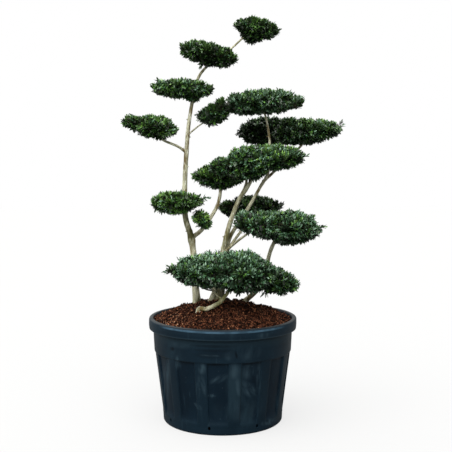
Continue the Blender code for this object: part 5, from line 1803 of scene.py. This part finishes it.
@dataclass
class Foliage:
    """All the masses: their leaves, one piece for each mass, and the twigs inside them."""

    lines: dict[str, LimbLine]
    recipes: Recipes
    effects: Effects
    growth: Growth = field(default_factory=Growth)
    twig_budget: int = 190_000
    twig_sides: int = 3

    def build(self) -> None:
        """Grow every mass and make its leaves; then make the twigs."""
        forms = bpy.data.collections.new("leaf forms")
        for number, form in enumerate(LEAF_FORMS):
            name = f"leaf form {number}"
            forms.objects.link(bpy.data.objects.new(name, form.mesh(name)))
        values = {tint.name: finish.make(tint, self.effects) for tint, finish in LEAF_FINISHES.items()}
        values["Leaf forms"] = forms
        twigs: list[Chain] = []
        total = 0
        for number, mass in enumerate(MASSES):
            pad = Pad(mass, number, self.growth, self.lines)
            pad.grow_frame()
            facts = vars(pad.grow_shoots().joined(pad.inner_rows()))
            twigs.extend(pad.twigs)
            places = facts.pop("places")
            total += len(places)
            seed = points_object(mass.name, places, facts)
            leaves = run_recipe(seed, self.recipes.leaves, values, f"leaves_{mass.name}")
            keep(leaves, Slot.FOLIAGE, mass.name)
        log.info("%d leaves in all", total)
        self._twigs(twigs)
        discard(forms)

    def _twigs(self, twigs: list[Chain]) -> None:
        """Make the twigs in pieces that each stay under the budget of triangles."""
        values = {"Sides": self.twig_sides, "Material": TwigFinish().make(self.effects)}
        batches: list[list[Chain]] = [[]]
        faces = 0
        for points, radii in twigs:
            own = 2 * self.twig_sides * (len(points) - 1) + 2 * (self.twig_sides - 2)
            if faces + own > self.twig_budget:
                batches.append([])
                faces = 0
            batches[-1].append((points, radii))
            faces += own
        for number, batch in enumerate(batches):
            seed = paths_object("twigs", batch)
            keep(run_recipe(seed, self.recipes.twigs, values, f"twigs_{number}"), Slot.BARK)


def around(radius: float, angle: float, height: float) -> Place:
    """A point at an angle from the front towards the right, in degrees."""
    turn = math.radians(angle)
    return (radius * math.sin(turn), -radius * math.cos(turn), height)


def rounded(corners: list[tuple[float, float, float]], steps: int) -> list[tuple[float, float]]:
    """A path of straight lines whose corners are rounded.

    Args:
        corners: Each corner's two coordinates and how far back from it the rounding starts.
        steps: The number of points on each rounded corner, less one.

    Returns:
        The path's points.
    """
    found = [corners[0][:2]]
    for before, corner, after in zip(corners, corners[1:], corners[2:]):
        if corner[2] == 0.0:
            found.append(corner[:2])
            continue
        point = np.array(corner[:2])
        back = unit(np.array(before[:2]) - point) * corner[2]
        ahead = unit(np.array(after[:2]) - point) * corner[2]
        arc = bend(point + back, point, point + ahead, np.linspace(0.0, 1.0, steps + 1))
        found.extend(tuple(place) for place in arc)
    return [*found, corners[-1][:2]]


def turned_mesh(name: str, angles: list[float], rows: list, pulled: Callable[..., float]) -> bpy.types.Mesh:
    """A closed turned shape: rows of points round the axis, with a pole at each end.

    Args:
        name: The mesh's name.
        angles: The columns' angles in degrees.
        rows: Radius and height of each row, whose first and last lie on the axis.
        pulled: Gives a point's own radius from its row's number, its angle, radius and height.

    Returns:
        The mesh, with its faces outward.
    """
    places = [(0.0, 0.0, rows[0][1])]
    for number, (radius, height) in enumerate(rows[1:-1], 1):
        places += [around(pulled(number, angle, radius, height), angle, height) for angle in angles]
    places.append((0.0, 0.0, rows[-1][1]))
    return smooth_mesh(name, places, round_faces(len(angles), len(rows) - 2, closed=True))


@dataclass
class Tub:
    """The nursery tub: a rolled rim, a plain band, sunk panels between ribs and drain holes at its heel."""

    foot: float = 0.2300
    heel: tuple[float, float] = (0.2346, 0.0050)
    wall_low: tuple[float, float] = (0.2357, 0.0280)
    wall_high: tuple[float, float] = (0.2668, 0.2742)
    band_low: tuple[float, float] = (0.2692, 0.2760)
    band_high: tuple[float, float] = (0.2735, 0.3620)
    rim_low: tuple[float, float] = (0.2885, 0.3620)
    rim_side: tuple[float, float] = (0.2905, 0.3800)
    top: float = 0.4105
    inner: float = 0.2715
    dip: float = 0.0045
    dip_start: float = 0.0040
    floor: float = 0.0060
    wall: float = 0.0075
    band_wall: float = 0.0097
    panels: int = 13
    first_panel: float = 23.9
    panel_angle: float = 17.0
    panel_low: float = 0.0380
    panel_fade: float = 0.0420
    panel_depth: float = 0.0062
    panel_edge: float = 0.55
    wobble: float = 0.0005
    wobble_size: float = 0.090
    drains: int = 8
    first_drain: float = -12.0
    drain_size: tuple[float, float] = (0.0100, 0.0140)
    drain_height: float = 0.0270
    drain_depth: float = 0.040
    sharp_angle: float = 35.0

    def wall_radius(self, height: float) -> float:
        """The outer radius of the ribs at a height."""
        share = (height - self.wall_low[1]) / (self.wall_high[1] - self.wall_low[1])
        return self.wall_low[0] + share * (self.wall_high[0] - self.wall_low[0])

    def rows(self) -> list[tuple[float, float]]:
        """The profile, from the middle of the inside floor over the rim to the middle of the underside."""
        high = (self.band_high[0] - self.band_wall, self.band_high[1])
        inside = [
            (0.0, self.floor, 0.0),
            (self.wall_radius(self.floor) - self.wall, self.floor, 0.004),
            (*high, 0.004),
            (self.inner, self.top - 0.0090, 0.003),
            (self.inner + 0.0030, self.top, 0.0035),
            (self.rim_side[0] - 0.0004, self.top, 0.0090),
            (*self.rim_side, 0.006),
            (*self.rim_low, 0.0022),
            (*self.band_high, 0.0022),
            (*self.band_low, 0.0030),
            (*self.wall_high, 0.0),
        ]
        path = rounded(inside, 6)
        slope = (self.wall_high[0] - self.wall_low[0]) / (self.wall_high[1] - self.wall_low[1])
        heights = [0.262, 0.245, 0.22, 0.19, 0.16, 0.13, 0.105, 0.085, 0.072]
        heights += [0.066, 0.062, 0.058, 0.054, 0.050, 0.047, 0.044, 0.0425, 0.041, 0.034]
        path += [(self.wall_high[0] - slope * (self.wall_high[1] - height), height) for height in heights]
        foot = [(*path[-1], 0.0), (*self.wall_low, 0.002), (*self.heel, 0.003)]
        foot += [(self.foot, 0.0, 0.0015), (0.0, 0.0, 0.0)]
        return path + rounded(foot, 4)[1:]

    def columns(self) -> list[float]:
        """The angles of the columns, close together at the panels' edges."""
        half, edge = self.panel_angle / 2, self.panel_edge
        step = 360.0 / self.panels
        own = [half * share for share in (0.0, 0.22, 0.44, 0.66, 0.84)]
        own += [half + edge * share for share in (-1.0, -0.6, -0.25, 0.0, 0.25, 0.6, 1.0)]
        own += [step / 2 - (step / 2 - half - edge) * share for share in (0.66, 0.33)]
        turns = sorted({-angle for angle in own} | set(own) | {step / 2})
        return [self.first_panel + step * panel + turn for panel in range(self.panels) for turn in turns]

    def sunk(self, angle: float, height: float) -> float:
        """How deep the wall is sunk at an angle and height."""
        step = 360.0 / self.panels
        away = abs((angle - self.first_panel + step / 2) % step - step / 2)
        share = (self.panel_angle / 2 + self.panel_edge - away) / (2 * self.panel_edge)
        share = min(1.0, max(0.0, share))
        fade = min(1.0, max(0.0, (height - self.panel_low) / self.panel_fade))
        return self.panel_depth * share * share * (3.0 - 2.0 * share) * (2.0 * fade - fade * fade)

    def build(self, material: bpy.types.Material) -> None:
        """Make the tub."""
        rows = self.rows()
        outer = next(number for number, row in enumerate(rows) if row[0] > self.rim_low[0] - 0.001)

        def pulled(number: int, angle: float, radius: float, height: float) -> float:
            """The radius at a point, with the panels and a slight unevenness."""
            if number < outer or height < 0.002:
                return radius
            uneven = noise.noise(Vector(around(radius, angle, height)) / self.wobble_size) * self.wobble
            return radius + uneven - (self.sunk(angle, height) if height <= self.wall_high[1] else 0.0)

        shell = new_object("tub_shell", turned_mesh("tub_shell", self.columns(), rows, pulled))
        for point in shell.data.vertices:
            risen = point.co.z - self.rim_low[1] - self.dip_start
            risen /= self.top - self.rim_low[1] - self.dip_start
            point.co.z -= self.dip * (1.0 - point.co.y / self.rim_side[0]) * min(1.0, max(0.0, risen))
        holes = bmesh.new()
        for number in range(self.drains):
            angle = self.first_drain + 360.0 / self.drains * number
            lie = Matrix.Rotation(math.radians(angle), 4, "Z") @ Matrix.Rotation(math.radians(90), 4, "X")
            place = Matrix.Translation(around(self.wall_radius(self.drain_height), angle, self.drain_height))
            size = Matrix.Diagonal((*self.drain_size, 1.0, 1.0))
            peg = {"segments": 20, "radius1": 0.5, "radius2": 0.5, "depth": self.drain_depth}
            bmesh.ops.create_cone(holes, cap_ends=True, matrix=place @ lie @ size, **peg)
        cutter = new_object("drain holes", mesh_of(holes, "drain holes"))
        cut = shell.modifiers.new("Drain holes", "BOOLEAN")
        cut.operation, cut.solver, cut.object = "DIFFERENCE", "EXACT", cutter
        tub = applied(shell, "nursery_tub")
        bpy.data.objects.remove(cutter)
        tub.data.set_sharp_from_angle(angle=math.radians(self.sharp_angle))
        tub.data.materials.clear()
        tub.data.materials.append(material)
        keep(tub, Slot.TUB, "tub")


@dataclass
class Compost:
    """The bark compost: a plug that rises as a lumpy mound, with loose chips and fibres on it."""

    edge: float = 0.2700
    foot: float = 0.2238
    floor: float = 0.0062
    columns: int = 240
    rings: int = 84
    rim_fade: float = 0.006
    bare_rim: float = 0.004
    roughness: float = 0.0060
    roughness_size: float = 0.0700
    lump: float = 0.0130
    lump_size: float = 0.0240
    crumb: float = 0.0080
    crumb_size: float = 0.0085
    grit_share: float = 0.4
    grit_size: float = 0.0035
    hollows: tuple[Place, ...] = ((0.138, 0.055, 0.0075), (-0.142, 0.035, 0.0055))
    pale_place: tuple[float, float] = (-0.205, -0.130)
    pale_reach: float = 0.075

    def height(self, x: float, y: float) -> float:
        """The mound's surface at a place, with its swells, lumps and crumbs."""
        reach = math.hypot(x, y)
        ground = float(soil_height(reach))
        place = Vector((x, y, ground))
        rough = self.roughness * noise.noise(place / self.roughness_size)
        rough += self.lump * noise.noise(place / self.lump_size)
        grit = self.grit_share * self.crumb * noise.noise(place / self.grit_size)
        rough += self.crumb * noise.noise(place / self.crumb_size) + grit
        for middle, width, drop in self.hollows:
            ground -= drop * math.exp(-(((x - middle) / width) ** 2))
        return ground + rough * min(1.0, (self.edge - reach) / self.rim_fade)

    def ring(self, reach: float, height: float = 0.0) -> list[Place]:
        """Points round the axis."""
        return [around(reach, 360.0 * column / self.columns, height) for column in range(self.columns)]

    def mound(self, radius: float) -> list[Place]:
        """The points of the mound's surface out to a radius, its middle first."""
        spots = [(0.0, 0.0, 0.0)]
        for number in range(1, self.rings + 1):
            spots += self.ring(radius * number / self.rings)
        return [(x, y, self.height(x, y)) for x, y, _ in spots]

    def plug(self, material: bpy.types.Material) -> None:
        """The plug of compost under its mound."""
        places = [*self.mound(self.edge), *self.ring(self.foot, self.floor), (0.0, 0.0, self.floor)]
        faces = round_faces(self.columns, self.rings + 1, closed=True)
        piece = new_object("compost_mound", smooth_mesh("compost_mound", places, faces))
        piece.data.materials.append(material)
        keep(piece, Slot.SOIL, "soil")

    @staticmethod
    def splinters(name: str, sizes: tuple[Place, ...], jitter: float, seed: int) -> bpy.types.Collection:
        """Splinters of bark, one of each size: slabs with uneven corners.

        Args:
            name: The collection's name.
            sizes: Each splinter's length, width and thickness.
            jitter: How far a corner may move, as a share of its distance from the middle.
            seed: The first splinter's seed.

        Returns:
            The collection that holds them.
        """
        forms = bpy.data.collections.new(name)
        for number, size in enumerate(sizes):
            rng = np.random.default_rng(seed + number)
            shape = bmesh.new()
            bmesh.ops.create_cube(shape, size=1.0)
            for corner in shape.verts:
                corner.co = Vector(rng.uniform(1.0 - jitter, 1.0 + jitter, 3)) * corner.co
                corner.co = Vector(size) * corner.co
            own = f"{name} {number}"
            forms.objects.link(bpy.data.objects.new(own, mesh_of(shape, own)))
        return forms

    def strew(self, tree: Tree, effects: Effects) -> None:
        """Loose chips of four kinds and two kinds of fibres on the mound."""
        slabs = ((1.0, 0.55, 0.22), (1.0, 0.35, 0.26), (0.8, 0.7, 0.30))
        chips = self.splinters("chips", slabs, 0.35, 0)
        fibres = self.splinters("fibres", ((1.0, 0.050, 0.035), (0.7, 0.060, 0.040)), 0.25, 9)
        kinds = (
            ("compost_chips_dark", chips, CHIP_DARK, 17_000, (0.004, 0.0125), 0.9),
            ("compost_chips_red", chips, CHIP_RED, 24_000, (0.003, 0.0100), 0.9),
            ("compost_chips_pale", chips, CHIP_PALE, 3_600, (0.003, 0.008), 0.7),
            ("compost_fibres_red", fibres, CHIP_RED, 4_500, (0.012, 0.030), 0.35),
            ("compost_fibres_pale", fibres, CHIP_PALE, 2_900, (0.010, 0.026), 0.35),
            ("compost_chips_left", chips, CHIP_WHITE, 5_500, (0.003, 0.0075), 0.7),
        )
        places = self.mound(self.edge - self.bare_rim)
        for number, (name, forms, finish, density, sizes, tilt) in enumerate(kinds):
            faces = round_faces(self.columns, self.rings)
            if name == "compost_chips_left":
                away = [math.dist(places[face[1]][:2], self.pale_place) for face in faces]
                faces = [face for face, gap in zip(faces, away) if gap < self.pale_reach]
            seed = new_object(name, smooth_mesh(name, places, faces))
            values = {
                "Pieces": forms,
                "Density": float(density) / 1.0,
                "Least size": sizes[0],
                "Greatest size": sizes[1],
                "Tilt": tilt,
                "Seed": 11 + number,
                "Material": finish.make(effects),
            }
            keep(run_recipe(seed, tree, values, name), Slot.SOIL)
        discard(chips)
        discard(fibres)


@dataclass
class Studio:
    """The camera, a plain pale floor and soft light, brightest from overhead and the left."""

    eye: Place = (0.0128, -2.973, 0.910)
    pitch: float = 87.135
    lens: float = 60.3
    sensor: float = 36.0
    overhead: float = 2.30
    level: float = 0.16
    side: float = 0.50
    sky: Colour = (0.97, 0.98, 0.96)
    key_turn: Place = (36.0, 0.0, -12.0)
    key_strength: float = 2.9
    key_spread: float = 80.0
    key_colour: Colour = (1.0, 0.985, 0.965)
    floor_size: float = 30.0

    def camera(self) -> None:
        """The photograph's camera."""
        data = bpy.data.cameras.new("camera")
        data.lens, data.sensor_width = self.lens, self.sensor
        camera = new_object("camera", data)
        camera.location = self.eye
        camera.rotation_euler = (math.radians(self.pitch), 0.0, 0.0)
        bpy.context.scene.camera = camera

    def world(self) -> None:
        """White to the camera; a soft gradient from overhead to the horizon as light."""
        world = bpy.data.worlds.new("studio")
        bpy.context.scene.world = world
        nodes = self.empty_tree(world)
        right, _, up = nodes.parts(nodes.output("ShaderNodeTexCoord"))
        upward = nodes.spread(up, -0.05, 0.85, self.level, self.overhead)
        leftward = nodes.spread(right, -1.0, 1.0, 1.0 + self.side, 1.0 - self.side)
        light = {"Color": self.sky, "Strength": nodes.math("MULTIPLY", upward, leftward)}
        light = nodes.output("ShaderNodeBackground", light)
        plain = nodes.output("ShaderNodeBackground", {"Color": (1.0, 1.0, 1.0), "Strength": 1.0})
        nodes.add("ShaderNodeOutputWorld", {"Surface": self.by_eye(nodes, light, plain)})

    def lamps(self) -> None:
        """A wide soft key light from the upper left."""
        key = bpy.data.lights.new("key", "SUN")
        key.energy, key.angle, key.color = self.key_strength, math.radians(self.key_spread), self.key_colour
        new_object("key", key).rotation_euler = tuple(math.radians(turn) for turn in self.key_turn)

    def floor(self) -> None:
        """A wide pale floor that shows white but throws little light back up."""
        shape = bmesh.new()
        bmesh.ops.create_grid(shape, x_segments=1, y_segments=1, size=self.floor_size)
        floor = new_object("floor", mesh_of(shape, "floor"))
        material = bpy.data.materials.new("floor")
        nodes = self.empty_tree(material)
        lit = nodes.output("ShaderNodeBsdfDiffuse", {"Color": (0.475, 0.475, 0.475)})
        even = nodes.output("ShaderNodeEmission", {"Color": (1.0, 1.0, 1.0), "Strength": 0.935})
        shown = nodes.output("ShaderNodeMixShader", {0: 0.74, 1: lit, 2: even})
        thrown = nodes.output("ShaderNodeBsdfDiffuse", {"Color": (0.16, 0.163, 0.16)})
        nodes.add("ShaderNodeOutputMaterial", {"Surface": self.by_eye(nodes, thrown, shown)})
        floor.data.materials.append(material)

    @staticmethod
    def empty_tree(owner: bpy.types.World | bpy.types.Material) -> Nodes:
        """The emptied node tree of a world or material."""
        owner.use_nodes = True
        owner.node_tree.nodes.clear()
        return Nodes(owner.node_tree)

    @staticmethod
    def by_eye(nodes: Nodes, thrown: Socket, seen: Socket) -> Socket:
        """One shader as light and another for the camera."""
        straight = nodes.output("ShaderNodeLightPath", name="Is Camera Ray")
        return nodes.output("ShaderNodeMixShader", {0: straight, 1: thrown, 2: seen})

    def build(self) -> None:
        """Set everything up."""
        self.camera()
        self.world()
        self.lamps()
        self.floor()
        bpy.context.scene.view_settings.view_transform = "Standard"


def main() -> None:
    """Build the plant, its compost and its tub, and report the sizes."""
    logging.basicConfig(level=logging.INFO, format="%(message)s")
    Studio().build()
    recipes, effects = Recipes(), Effects()
    lines = {limb.name: LimbLine.of(limb, LIMB_STEP) for limb in LIMBS}
    Tub().build(TubFinish().make(effects))
    compost = Compost()
    compost.plug(EARTH.make(effects))
    compost.strew(recipes.scatter, effects)
    Stems(lines, recipes.bark, BarkFinish().make(effects)).build()
    Foliage(lines, recipes, effects).build()
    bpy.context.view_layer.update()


if __name__ == "__main__":
    main()
